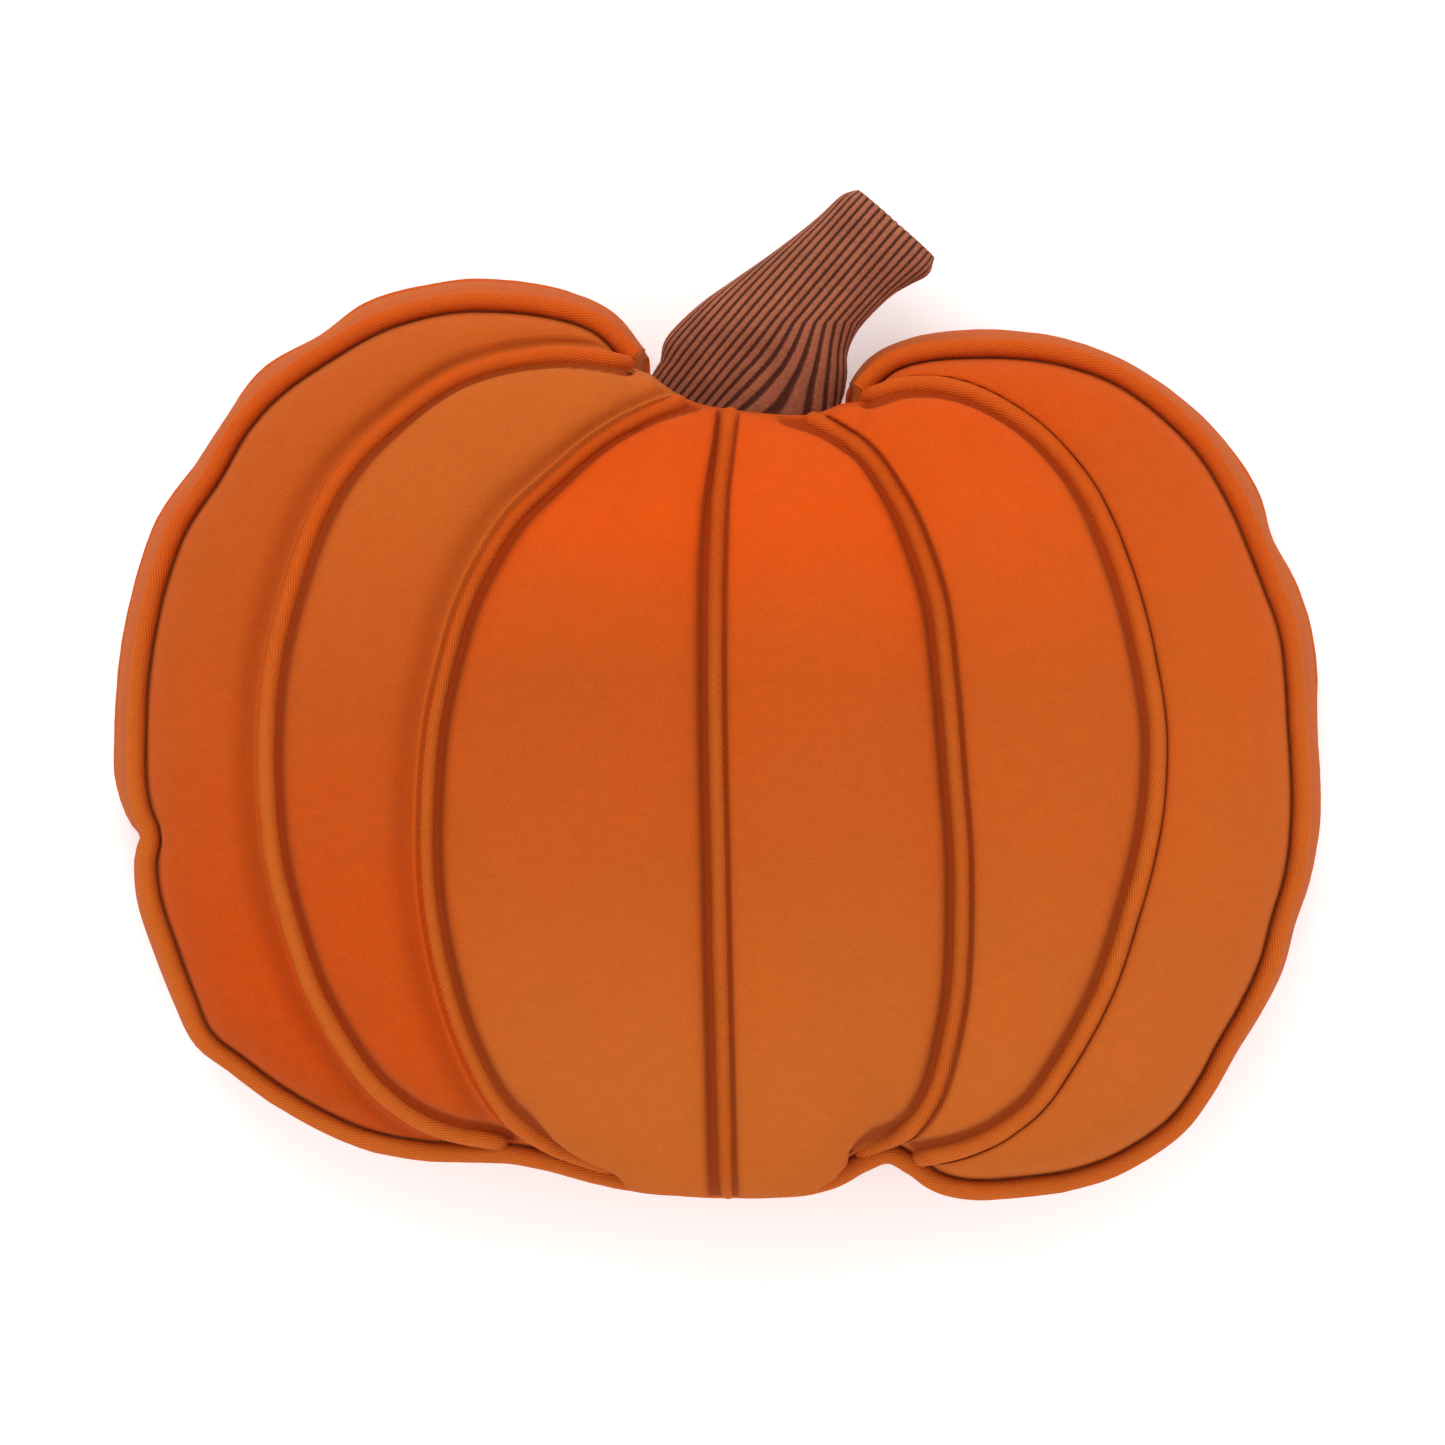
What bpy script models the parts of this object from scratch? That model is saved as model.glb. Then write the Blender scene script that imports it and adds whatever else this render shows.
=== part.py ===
"""Pumpkin cushion: six velvet panels with piped seams, a boxing strip, piped edges and a stuffed stem.

Metres, +Z up. The cushion lies on its back, +Y points from its middle to the stem, and the origin is in
the middle of the flat face that it rests on. The tables and sizes below are in millimetres.
"""

import math

import bmesh
import bpy
import numpy as np

MM = 0.001
NAME = "pumpkin_cushion"

FRONT_EDGE_HEIGHT = 78.0
BACK_EDGE_HEIGHT = 20.0
CROWN = 29.0
CROWN_SHAPE = (4.0, 0.55)
PANEL_BULGE = 0.10
MOST_BULGE = 8.0
BOXING_BULGE = 3.0
STEM_POCKET = 5.0
POCKET_RAMP = 8.0
CORD_RADIUS = 3.2
CORD_FOOT = CORD_RADIUS + 0.7
CROWN_CENTRE = (0.0, -12.0)

ROWS = 30
ROW_EASE = 0.35
LEAST_GROOVED_WIDTH = 7.0
CURVE_STEPS = 24
SEAM_CLEARANCE = 0.8
END_TRIM = 0.25

# The cord of the front edge, anticlockwise from the left of the stem to its right, and how far the back
# edge stands outside it.
# x, y, spread
FRONT_EDGE = [
    (-29.0, 128.5, 2), (-41.5, 140.0, 5), (-60.0, 145.5, 7), (-82.0, 147.0, 8), (-98.5, 145.0, 8),
    (-115.5, 139.5, 9), (-132.0, 130.0, 7), (-148.5, 118.5, 9), (-160.5, 105.5, 7), (-170.0, 89.0, 8),
    (-181.0, 72.5, 9), (-187.5, 55.5, 9), (-191.5, 39.0, 9), (-194.0, 22.5, 9), (-195.0, 5.5, 9),
    (-195.0, -11.0, 9), (-193.5, -22.5, 7), (-190.0, -31.0, 4), (-191.5, -40.0, 5), (-190.0, -53.0, 6),
    (-184.5, -69.5, 6), (-178.5, -86.0, 5), (-172.5, -99.0, 4), (-162.0, -107.5, 2), (-148.5, -117.5, 1),
    (-132.0, -127.0, 0), (-115.5, -133.5, -1), (-98.5, -136.5, -2), (-83.5, -137.0, -2), (-70.5, -137.5, -2),
    (-57.0, -140.0, -2), (-40.5, -144.5, -2), (-23.5, -147.5, -2), (1.5, -149.0, -2), (23.0, -148.5, -2),
    (36.5, -146.0, -2), (46.0, -141.0, -1), (55.5, -137.5, 0), (63.5, -141.0, -1), (72.5, -147.0, -2),
    (84.5, -149.5, -2), (101.5, -148.5, -2), (118.0, -146.0, -1), (134.5, -140.0, 0), (151.5, -128.5, 2),
    (161.5, -115.5, 3), (169.0, -101.5, 4), (176.5, -88.5, 5), (183.0, -74.5, 6), (187.0, -59.5, 6),
    (191.5, -44.5, 7), (193.5, -27.5, 8), (193.5, -11.0, 8), (192.5, 5.5, 8), (191.5, 22.5, 9),
    (189.5, 37.5, 9), (184.5, 51.5, 9), (179.0, 65.5, 7), (172.5, 80.5, 9), (162.5, 97.0, 8),
    (149.5, 110.5, 7), (134.5, 121.5, 6), (118.0, 128.0, 6), (101.5, 131.0, 6), (84.5, 131.5, 6),
    (69.0, 130.5, 5), (58.0, 127.5, 4), (51.5, 123.0, 3), (46.5, 117.5, 1),
]

# The top edge of the face in the notch, from the right of the stem to its left, where no cord runs.
# x, y, spread
NOTCH_EDGE = [
    (46.5, 117.5, 1), (43.0, 114.5, 0), (33.0, 110.0, 0), (23.0, 109.0, 0), (3.0, 111.0, 0),
    (-10.5, 114.0, 0), (-22.0, 121.5, 0), (-29.0, 128.5, 2),
]

# The five piped seams of the face, each from the notch down to the lower edge.
# name: (x, y), ...
SEAMS = {
    "far_left": [
        (-28.5, 126.0), (-40.0, 127.5), (-55.5, 128.0), (-73.0, 125.5), (-89.5, 119.5), (-106.0, 108.0),
        (-122.5, 92.0), (-134.0, 73.0), (-143.0, 46.5), (-148.5, 21.5), (-150.0, -6.5), (-148.0, -36.0),
        (-142.0, -61.0), (-133.0, -85.5), (-119.0, -108.5), (-105.0, -122.0), (-89.0, -130.5),
        (-74.0, -135.5),
    ],
    "left": [
        (-10.5, 112.5), (-24.5, 108.5), (-40.0, 100.0), (-56.5, 86.0), (-70.5, 72.0), (-83.5, 49.0),
        (-90.5, 27.0), (-95.5, 3.5), (-97.5, -26.5), (-96.5, -52.5), (-92.0, -77.0), (-84.5, -100.5),
        (-73.5, -120.5), (-57.5, -133.5), (-37.5, -143.0),
    ],
    "middle": [
        (3.0, 109.5), (1.5, 96.5), (-0.5, 79.0), (-1.5, 49.0), (-1.5, 9.5), (-0.5, -39.5), (0.5, -85.5),
        (1.5, -119.5), (2.5, -147.0),
    ],
    "right": [
        (23.0, 107.5), (35.5, 104.0), (46.5, 97.0), (54.5, 87.0), (63.5, 70.5), (71.5, 46.5),
        (75.0, 19.0), (77.5, -11.5), (79.5, -39.5), (79.0, -75.0), (76.0, -96.5), (70.5, -116.5),
        (61.5, -129.0), (48.0, -138.0),
    ],
    "far_right": [
        (43.5, 114.5), (59.0, 118.0), (75.5, 117.5), (92.0, 111.0), (108.5, 98.5), (123.5, 78.5),
        (135.5, 47.5), (142.5, 15.5), (144.0, -4.5), (142.0, -28.0), (136.0, -53.0), (125.5, -84.0),
        (108.0, -114.5), (95.0, -127.0), (81.0, -134.5), (65.5, -139.5),
    ],
}

# The stem beyond its base, which follows the wall of the notch.
# left x, left y, right x, right y, height of its middle, half its thickness
STEM = [
    (-20.5, 128.0, 41.5, 117.0, 56.0, 13.5),
    (-19.0, 135.0, 42.5, 123.5, 56.5, 15.0),
    (-13.5, 141.5, 42.5, 129.5, 57.0, 16.5),
    (-5.5, 148.5, 44.0, 134.5, 57.5, 16.5),
    (4.5, 155.5, 47.0, 139.5, 57.5, 16.0),
    (14.5, 162.5, 52.0, 145.0, 57.0, 15.5),
    (24.5, 170.0, 58.0, 150.5, 56.0, 15.0),
    (33.0, 177.0, 64.0, 154.0, 55.0, 14.5),
    (40.5, 184.0, 70.0, 157.5, 54.0, 13.0),
    (46.0, 186.0, 72.0, 163.0, 53.5, 9.5),
]
STEM_SIDES = 20
STEM_BASE = (0.10, 0.86)
STEM_BASE_HEIGHT = (56.0, 10.0)
STEM_GAP = 0.5
STEM_SQUARENESS = 2.5

# The groove that a cord lies in, as distance from the cord's middle and height above it.
GROOVE = [(0.0, -CORD_RADIUS - 0.6), (2.3, -CORD_RADIUS - 0.1), (CORD_FOOT, -0.3)]
EDGE_GROOVE = [(-2.3, -CORD_RADIUS - 0.1), (0.0, -CORD_RADIUS - 0.6), (2.3, -CORD_RADIUS - 0.1)]

# Columns of each panel between its seams, apart from those of the grooves.
PANEL_COLUMNS = [4, 4, 5, 5, 4, 4]
BULGE_SHAPE = (2.6, 0.6)

# The strip round the side, as share of the way from the front edge to the back edge.
BOXING_ROWS = [0.2, 0.5, 0.8]

# The back, from its edge inwards, as scale of its outline and height.
BACK_RINGS = [(0.965, 10.0), (0.92, 2.5), (0.86, 0.0), (0.45, 0.0)]

COLOURS = {
    "velvet": ((0.72, 0.13, 0.015, 1.0), 0.85),
    "piping": ((0.66, 0.11, 0.012, 1.0), 0.8),
    "corduroy": ((0.20, 0.065, 0.028, 1.0), 0.9),
}


def smooth_path(table, fractions):
    """Points at fractions of the plan length of a smooth curve through a table's rows."""
    rows = np.array(table, float)
    run = np.vstack([2 * rows[0] - rows[1], rows, 2 * rows[-1] - rows[-2]])
    t = np.linspace(0, 1, CURVE_STEPS, endpoint=False)[:, None]
    spans = []
    for a, b, c, d in zip(run, run[1:], run[2:], run[3:]):
        bend = (2 * a - 5 * b + 4 * c - d) * t**2 + (3 * b - a - 3 * c + d) * t**3
        spans.append(b + 0.5 * ((c - a) * t + bend))
    fine = np.vstack([*spans, rows[-1:]])
    steps = np.linalg.norm(np.diff(fine[:, :2], axis=0), axis=1)
    length = np.concatenate([[0.0], np.cumsum(steps)])
    wanted = np.asarray(fractions) * length[-1]
    return np.column_stack([np.interp(wanted, length, column) for column in fine.T])


def nearest_fraction(table, point):
    """Where along a smooth curve through the table a point lies nearest, from 0 to 1."""
    fractions = np.linspace(0, 1, 4001)
    away = smooth_path(table, fractions)[:, :2] - np.array(point)
    return fractions[np.argmin((away**2).sum(axis=1))]


def unit(vectors):
    """Vectors scaled to length 1; one without a length stays as it is."""
    return vectors / np.maximum(np.linalg.norm(vectors, axis=-1, keepdims=True), 1e-9)


def outward(loop):
    """Unit normals in plan of an anticlockwise closed loop."""
    along = unit(np.roll(loop, -1, axis=0) - np.roll(loop, 1, axis=0))
    return np.column_stack([along[:, 1], -along[:, 0]])


def moved(loop, normal, offset, height):
    """A loop in plan moved along its normals and set at a height."""
    plan = loop + normal * np.reshape(offset, (-1, 1))
    return np.column_stack([plan, np.full(len(plan), height)])


def row_fractions():
    """Rows from the notch to the lower edge, closer together at both ends, where the face turns down."""
    t = np.linspace(0, 1, ROWS + 1)
    return t - ROW_EASE * np.sin(2 * math.pi * t) / (2 * math.pi)


class Crown:
    """The height of the face over its plan: highest in the middle, steep at the edge."""

    def __init__(self, loop):
        away = loop - np.array(CROWN_CENTRE)
        turn = np.arctan2(away[:, 1], away[:, 0])
        order = np.argsort(turn)
        self.turn = turn[order]
        self.reach = np.linalg.norm(away, axis=1)[order]

    def height(self, points):
        away = points - np.array(CROWN_CENTRE)
        turn = np.arctan2(away[..., 1], away[..., 0])
        reach = np.interp(turn, self.turn, self.reach, period=2 * math.pi)
        share = np.clip(np.linalg.norm(away, axis=-1) / reach, 0, 1)
        fall, lift = CROWN_SHAPE
        return FRONT_EDGE_HEIGHT + CROWN * (1 - share**fall) ** lift


def columns_between(panel):
    """How many columns lie between the two lines that bound a panel."""
    grooved = (panel > 0) + (panel < len(PANEL_COLUMNS) - 1)
    return PANEL_COLUMNS[panel] + grooved * (len(GROOVE) - 1)


def edge_stations():
    """The outline's stations, anticlockwise from the left of the stem: the left edge, the lower edge of
    the four inner panels, the right edge and the notch. Gives the plan, the spread and the corded count."""
    ends = [nearest_fraction(FRONT_EDGE, line[-1]) for line in SEAMS.values()]
    tops = [nearest_fraction(NOTCH_EDGE, line[0]) for line in SEAMS.values()]
    tops[0] = 1.0
    tops[-1] = 0.0
    corded = [ends[0] * row_fractions()]
    bare = []
    for panel in range(1, len(SEAMS)):
        steps = columns_between(panel) + 1
        corded.append(np.linspace(ends[panel - 1], ends[panel], steps + 1)[1:])
        bare.insert(0, np.linspace(tops[panel], tops[panel - 1], steps + 1)[1:])
    corded.append((ends[-1] + (1 - ends[-1]) * row_fractions())[1:])
    corded = smooth_path(FRONT_EDGE, np.concatenate(corded))
    bare = smooth_path(NOTCH_EDGE, np.concatenate(bare)[:-1])
    loop = np.vstack([corded, bare])
    return loop[:, :2], loop[:, 2], len(corded)


class Outline:
    """The front edge in plan: the middle of its cord, its normals, the foot of the face inside it, and how
    deep the pocket for the stem is at each station of the notch."""

    def __init__(self):
        self.cord, self.spread, self.corded = edge_stations()
        self.normal = outward(self.cord)
        inset = np.where(np.arange(len(self.cord)) < self.corded, CORD_FOOT, 0.0)
        self.foot = self.cord - self.normal * inset[:, None]
        self.pocket = np.zeros(len(self.cord))
        bare = self.cord[self.corded :]
        corners = self.cord[[0, self.corded - 1]]
        away = np.linalg.norm(bare[:, None] - corners, axis=2).min(axis=1)
        self.pocket[self.corded :] = np.clip(away / POCKET_RAMP, 0, 1)

    def ring(self, offset, height):
        """The front edge moved outwards by an offset, at a height. The offset is one number or one each."""
        return moved(self.cord, self.normal, offset, height)

    def back_ring(self, offset, height):
        """The back edge moved outwards by an offset, at a height."""
        back = self.cord + self.normal * (self.spread - STEM_POCKET * self.pocket)[:, None]
        return moved(back, outward(back), offset, height)


def face_lines(outline, crown):
    """The seven lines down the face, three-dimensional: its left edge, the five seams, its right edge."""
    rows = row_fractions()
    foot = np.column_stack([outline.foot, np.full(len(outline.foot), FRONT_EDGE_HEIGHT)])
    lower = ROWS
    upper = len(foot)
    lines = [foot[: ROWS + 1]]
    for panel, table in enumerate(SEAMS.values()):
        if panel:
            lower += columns_between(panel) + 1
            upper -= columns_between(panel) + 1
        plan = smooth_path(table, rows)
        line = np.column_stack([plan, crown.height(plan)])
        line[0] = foot[upper % len(foot)]
        line[-1] = foot[lower]
        lines.append(line)
    lines.append(foot[lower : lower + ROWS + 1][::-1])
    return lines, foot


def frame(line):
    """Sideways and upwards unit vectors along a line that runs down the face."""
    along = unit(np.gradient(line, axis=0))
    side = unit(np.column_stack([-along[:, 1], along[:, 0], np.zeros(len(along))]))
    return side, np.cross(along, side)


def groove_columns(line, depth, sign):
    """The columns of a groove on one side of a seam, from its middle outwards."""
    side, up = frame(line)
    return [line + depth[:, None] * (sign * away * side + rise * up) for away, rise in GROOVE[1:]]


def panel_columns(left, right, start, end, panel, crown):
    """The columns of a panel between the outer edges of its two grooves, bulged like filled cloth."""
    width = np.linalg.norm((right - left)[:, :2], axis=1)
    bulge = np.minimum(MOST_BULGE, PANEL_BULGE * width)
    power, lift = BULGE_SHAPE
    columns = []
    for share in np.linspace(0, 1, PANEL_COLUMNS[panel] + 2)[1:-1]:
        plan = start[:, :2] + (end - start)[:, :2] * share
        over = np.linalg.norm(plan - left[:, :2], axis=1) / np.maximum(width, 1e-6)
        swell = (1 - np.abs(2 * np.clip(over, 0, 1) - 1) ** power) ** lift
        columns.append(np.column_stack([plan, crown.height(plan) + bulge * swell]))
    return columns


def face_grid(outline):
    """All columns of the face from left to right, and for each seam its line and where it has room."""
    crown = Crown(outline.foot)
    lines, foot = face_lines(outline, crown)
    widths = [np.linalg.norm((b - a)[:, :2], axis=1) for a, b in zip(lines, lines[1:])]
    depths = []
    for left, right in zip(widths, widths[1:]):
        depth = np.clip(np.minimum(left, right) / LEAST_GROOVED_WIDTH, 0, 1)
        depth[[0, -1]] = 0
        depths.append(depth)
    columns = [lines[0]]
    for panel in range(len(PANEL_COLUMNS)):
        left, right = lines[panel], lines[panel + 1]
        opening = groove_columns(left, depths[panel - 1], 1) if panel else []
        closing = groove_columns(right, depths[panel], -1)[::-1] if panel < len(depths) else []
        start = opening[-1] if opening else left
        end = closing[0] if closing else right
        columns += opening + panel_columns(left, right, start, end, panel, crown) + closing
        if closing:
            side, up = frame(right)
            columns.append(right + depths[panel][:, None] * GROOVE[0][1] * up)
        else:
            columns.append(right)
    grid = np.array(columns)
    set_ends_on_edge(grid, foot)
    return grid, lines[1:-1], depths


def set_ends_on_edge(grid, foot):
    """Puts the first and last row of the face on the outline's foot."""
    first = PANEL_COLUMNS[0] + len(GROOVE)
    last = len(grid) - 1 - first
    lower = foot[ROWS : ROWS + last - first + 1]
    upper = np.vstack([foot[:1], foot[::-1][: last - first]])
    grid[: first + 1, 0] = upper[0]
    grid[first : last + 1, 0] = upper
    grid[last:, 0] = upper[-1]
    grid[: first + 1, -1] = lower[0]
    grid[first : last + 1, -1] = lower
    grid[last:, -1] = lower[-1]


def side_rings(outline):
    """Rings from the face's edge over the boxing to the back: each station's place in the loop is kept."""
    inward = -STEM_POCKET * outline.pocket
    corded = np.arange(len(outline.cord)) < outline.corded
    rings = []
    for away, rise in EDGE_GROOVE:
        offset = np.where(corded, away, inward * (away + CORD_RADIUS) / (2 * CORD_RADIUS))
        rings.append(outline.ring(offset, FRONT_EDGE_HEIGHT + rise))
    top = FRONT_EDGE_HEIGHT - CORD_RADIUS
    drop = top - BACK_EDGE_HEIGHT - CORD_RADIUS
    for share in BOXING_ROWS:
        swell = BOXING_BULGE * math.sin(math.pi * share)
        offset = np.where(corded, EDGE_GROOVE[-1][0] + outline.spread * share + swell, inward)
        rings.append(outline.ring(offset, top - drop * share))
    for away, rise in EDGE_GROOVE[::-1]:
        rings.append(outline.back_ring(away, BACK_EDGE_HEIGHT - rise))
    hem = outline.back_ring(-CORD_FOOT, BACK_EDGE_HEIGHT)
    rings.append(hem)
    centre = np.array([*CROWN_CENTRE, 0.0])
    for scale, height in BACK_RINGS:
        ring = centre + (hem - centre) * scale
        ring[:, 2] = height
        rings.append(ring)
    return rings


class Skin:
    """Faces gathered from sheets of points; points at one place become one, and a face that has shrunk to
    an edge there is left out."""

    def __init__(self):
        self.numbers = {}
        self.faces = []

    def number(self, point):
        return self.numbers.setdefault(tuple(round(float(c), 4) for c in point), len(self.numbers))

    def face(self, *points):
        corners = list(dict.fromkeys(self.number(point) for point in points))
        if len(corners) > 2:
            self.faces.append(corners)

    def sheet(self, lines, closed=False):
        """Four-sided faces between each line of points and the next."""
        for line, following in zip(lines, lines[1:]):
            count = len(line)
            for here in range(count if closed else count - 1):
                there = (here + 1) % count
                self.face(line[here], line[there], following[there], following[here])

    def fan(self, ring, centre):
        for here in range(len(ring)):
            self.face(ring[here - 1], ring[here], centre)

    def build(self, name, look):
        mesh = bpy.data.meshes.new(name)
        points = [[c * MM for c in point] for point in self.numbers]
        mesh.from_pydata(points, [], self.faces)
        shell = bmesh.new()
        shell.from_mesh(mesh)
        bmesh.ops.recalc_face_normals(shell, faces=shell.faces)
        shell.to_mesh(mesh)
        shell.free()
        mesh.shade_smooth()
        return add_object(name, mesh, look)


def material(look):
    """The material of a look, made once."""
    if look in bpy.data.materials:
        return bpy.data.materials[look]
    made = bpy.data.materials.new(look)
    made.use_nodes = True
    shader = made.node_tree.nodes["Principled BSDF"]
    colour, roughness = COLOURS[look]
    shader.inputs["Base Color"].default_value = colour
    shader.inputs["Roughness"].default_value = roughness
    shader.inputs["Metallic"].default_value = 0.0
    made.diffuse_color = colour
    return made


def add_object(name, data, look):
    data.materials.append(material(look))
    made = bpy.data.objects.new(name, data)
    bpy.data.collections[NAME].objects.link(made)
    return made


def cord(name, points, closed=False):
    """A round cord through the points, which the grooves of the body share."""
    curve = bpy.data.curves.new(name, "CURVE")
    curve.dimensions = "3D"
    curve.bevel_depth = CORD_RADIUS * MM
    curve.bevel_resolution = 2
    curve.use_fill_caps = True
    spline = curve.splines.new("POLY")
    spline.points.add(len(points) - 1)
    for place, point in zip(spline.points, points):
        place.co = (*(point * MM), 1.0)
    spline.use_cyclic_u = closed
    return add_object(name, curve, "piping")


def cushion_body(outline):
    """The filled solid: face with its sewn channels, boxing strip and back. Gives its seams' cords."""
    grid, lines, depths = face_grid(outline)
    foot = np.column_stack([outline.foot, np.full(len(outline.foot), FRONT_EDGE_HEIGHT)])
    rings = side_rings(outline)
    skin = Skin()
    skin.sheet(grid)
    skin.sheet([foot, *rings], closed=True)
    skin.fan(rings[-1], (*CROWN_CENTRE, 0.0))
    skin.build("cushion_body", "velvet")
    return lines, depths


def edge_pipings(outline):
    """The cord of the front edge, open at the stem, and the cord of the back edge, closed."""
    front = outline.ring(0.0, FRONT_EDGE_HEIGHT)[: outline.corded]
    front[0] = front[0] + (front[1] - front[0]) * END_TRIM
    front[-1] = front[-1] + (front[-2] - front[-1]) * END_TRIM
    cord("front_edge_piping", front)
    cord("back_edge_piping", outline.back_ring(0.0, BACK_EDGE_HEIGHT), closed=True)
    return front


def seam_pipings(lines, depths, front):
    """A cord in each channel of the face, over the stretch where it is clear of the front edge's cord."""
    for name, line, depth in zip(SEAMS, lines, depths):
        away = np.linalg.norm(line[:, None] - front[None], axis=2).min(axis=1)
        room = np.flatnonzero((depth >= 1) & (away > 2 * CORD_RADIUS + SEAM_CLEARANCE))
        cord(f"seam_piping_{name}", line[room[0] : room[-1] + 1])


def around(sides):
    """Shares across and through the thickness at points round a rounded oblong."""
    turn = np.linspace(0, 2 * math.pi, sides, endpoint=False)
    power = 2 / STEM_SQUARENESS
    across = np.sign(np.cos(turn)) * np.abs(np.cos(turn)) ** power
    through = np.sign(np.sin(turn)) * np.abs(np.sin(turn)) ** power
    return across, through


def stem(outline):
    """The stuffed stem. Its base lies along the wall of the notch, just clear of it."""
    across, through = around(STEM_SIDES)
    wall = outline.ring(STEM_GAP - STEM_POCKET * outline.pocket, 0.0)[outline.corded :][::-1]
    start, end = STEM_BASE
    plan = smooth_path(wall[:, :2], start + (end - start) * (1 + across) / 2)
    middle, half = STEM_BASE_HEIGHT
    sections = [np.column_stack([plan, middle + half * through])]
    for left_x, left_y, right_x, right_y, middle, half in STEM:
        left = np.array([left_x, left_y])
        right = np.array([right_x, right_y])
        plan = (left + right) / 2 + (right - left) / 2 * across[:, None]
        sections.append(np.column_stack([plan, middle + half * through]))
    skin = Skin()
    skin.sheet(sections, closed=True)
    tip = sections[-1]
    skin.fan(tip, tip.mean(axis=0))
    base = sections[0]
    half_way = STEM_SIDES // 2
    rows = [[base[here], base[-here]] for here in range(1, half_way)]
    skin.sheet([[base[0], base[0]], *rows, [base[half_way], base[half_way]]])
    skin.build("stem", "corduroy")


def main():
    for old in list(bpy.data.objects):
        bpy.data.objects.remove(old)
    parts = bpy.data.collections.new(NAME)
    bpy.context.scene.collection.children.link(parts)
    outline = Outline()
    lines, depths = cushion_body(outline)
    front = edge_pipings(outline)
    seam_pipings(lines, depths, front)
    stem(outline)


main()
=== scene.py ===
"""The looks of the pumpkin cushion: velvet panels and boxing, piped seams and edges, a corduroy stem.

Everything is in metres in the frame's own place; the tables and sizes named below are in millimetres.
"""

import math

import bmesh
import bpy
import numpy as np
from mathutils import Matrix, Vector


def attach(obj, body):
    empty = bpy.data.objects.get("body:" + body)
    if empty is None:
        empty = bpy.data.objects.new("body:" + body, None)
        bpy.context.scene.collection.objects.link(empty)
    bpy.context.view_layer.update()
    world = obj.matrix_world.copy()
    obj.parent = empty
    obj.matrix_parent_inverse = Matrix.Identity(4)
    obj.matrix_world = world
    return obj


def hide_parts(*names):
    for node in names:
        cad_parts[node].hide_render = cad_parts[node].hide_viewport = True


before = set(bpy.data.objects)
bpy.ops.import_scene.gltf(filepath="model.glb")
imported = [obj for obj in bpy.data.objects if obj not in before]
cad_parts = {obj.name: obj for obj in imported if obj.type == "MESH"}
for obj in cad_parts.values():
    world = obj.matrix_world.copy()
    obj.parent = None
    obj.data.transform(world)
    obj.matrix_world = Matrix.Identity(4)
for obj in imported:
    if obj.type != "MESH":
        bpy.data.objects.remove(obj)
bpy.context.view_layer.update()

MM = 0.001

# The photo and the camera that looks straight down on the face.
PHOTO_SIDE = 1445
PHOTO_SCALE = 1 / 3
PHOTO_ORIGIN = (721.0, 742.0)
CAMERA_DISTANCE = 2400.0
SENSOR = 36.0

FRONT_EDGE_HEIGHT = 78.0
BACK_EDGE_HEIGHT = 20.0
CROWN = 29.0
CROWN_SHAPE = (4.0, 0.55)
CROWN_CENTRE = (0.0, -12.0)
CORD_RADIUS = 3.2
CORD_FOOT = CORD_RADIUS + 0.7
STEM_POCKET = 5.0
POCKET_RAMP = 8.0
CURVE_STEPS = 24

# The cord of the front edge, anticlockwise from the left of the stem to its right, and how far the back
# edge stands outside it: x, y, spread.
FRONT_EDGE = [
    (-29.0, 128.5, 2), (-41.5, 140.0, 5), (-60.0, 145.5, 7), (-82.0, 147.0, 8), (-98.5, 145.0, 8),
    (-115.5, 139.5, 9), (-132.0, 130.0, 7), (-148.5, 118.5, 9), (-160.5, 105.5, 7), (-170.0, 89.0, 8),
    (-181.0, 72.5, 9), (-187.5, 55.5, 9), (-191.5, 39.0, 9), (-194.0, 22.5, 9), (-195.0, 5.5, 9),
    (-195.0, -11.0, 9), (-193.5, -22.5, 7), (-190.0, -31.0, 4), (-191.5, -40.0, 5), (-190.0, -53.0, 6),
    (-184.5, -69.5, 6), (-178.5, -86.0, 5), (-172.5, -99.0, 4), (-162.0, -107.5, 2), (-148.5, -117.5, 1),
    (-132.0, -127.0, 0), (-115.5, -133.5, -1), (-98.5, -136.5, -2), (-83.5, -137.0, -2), (-70.5, -137.5, -2),
    (-57.0, -140.0, -2), (-40.5, -144.5, -2), (-23.5, -147.5, -2), (1.5, -149.0, -2), (23.0, -148.5, -2),
    (36.5, -146.0, -2), (46.0, -141.0, -1), (55.5, -137.5, 0), (63.5, -141.0, -1), (72.5, -147.0, -2),
    (84.5, -149.5, -2), (101.5, -148.5, -2), (118.0, -146.0, -1), (134.5, -140.0, 0), (151.5, -128.5, 2),
    (161.5, -115.5, 3), (169.0, -101.5, 4), (176.5, -88.5, 5), (183.0, -74.5, 6), (187.0, -59.5, 6),
    (191.5, -44.5, 7), (193.5, -27.5, 8), (193.5, -11.0, 8), (192.5, 5.5, 8), (191.5, 22.5, 9),
    (189.5, 37.5, 9), (184.5, 51.5, 9), (179.0, 65.5, 7), (172.5, 80.5, 9), (162.5, 97.0, 8),
    (149.5, 110.5, 7), (134.5, 121.5, 6), (118.0, 128.0, 6), (101.5, 131.0, 6), (84.5, 131.5, 6),
    (69.0, 130.5, 5), (58.0, 127.5, 4), (51.5, 123.0, 3), (46.5, 117.5, 1),
]

# The top edge of the face in the notch, from the right of the stem to its left: x, y, spread.
NOTCH_EDGE = [
    (46.5, 117.5, 1), (43.0, 114.5, 0), (33.0, 110.0, 0), (23.0, 109.0, 0), (3.0, 111.0, 0),
    (-10.5, 114.0, 0), (-22.0, 121.5, 0), (-29.0, 128.5, 2),
]

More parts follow.
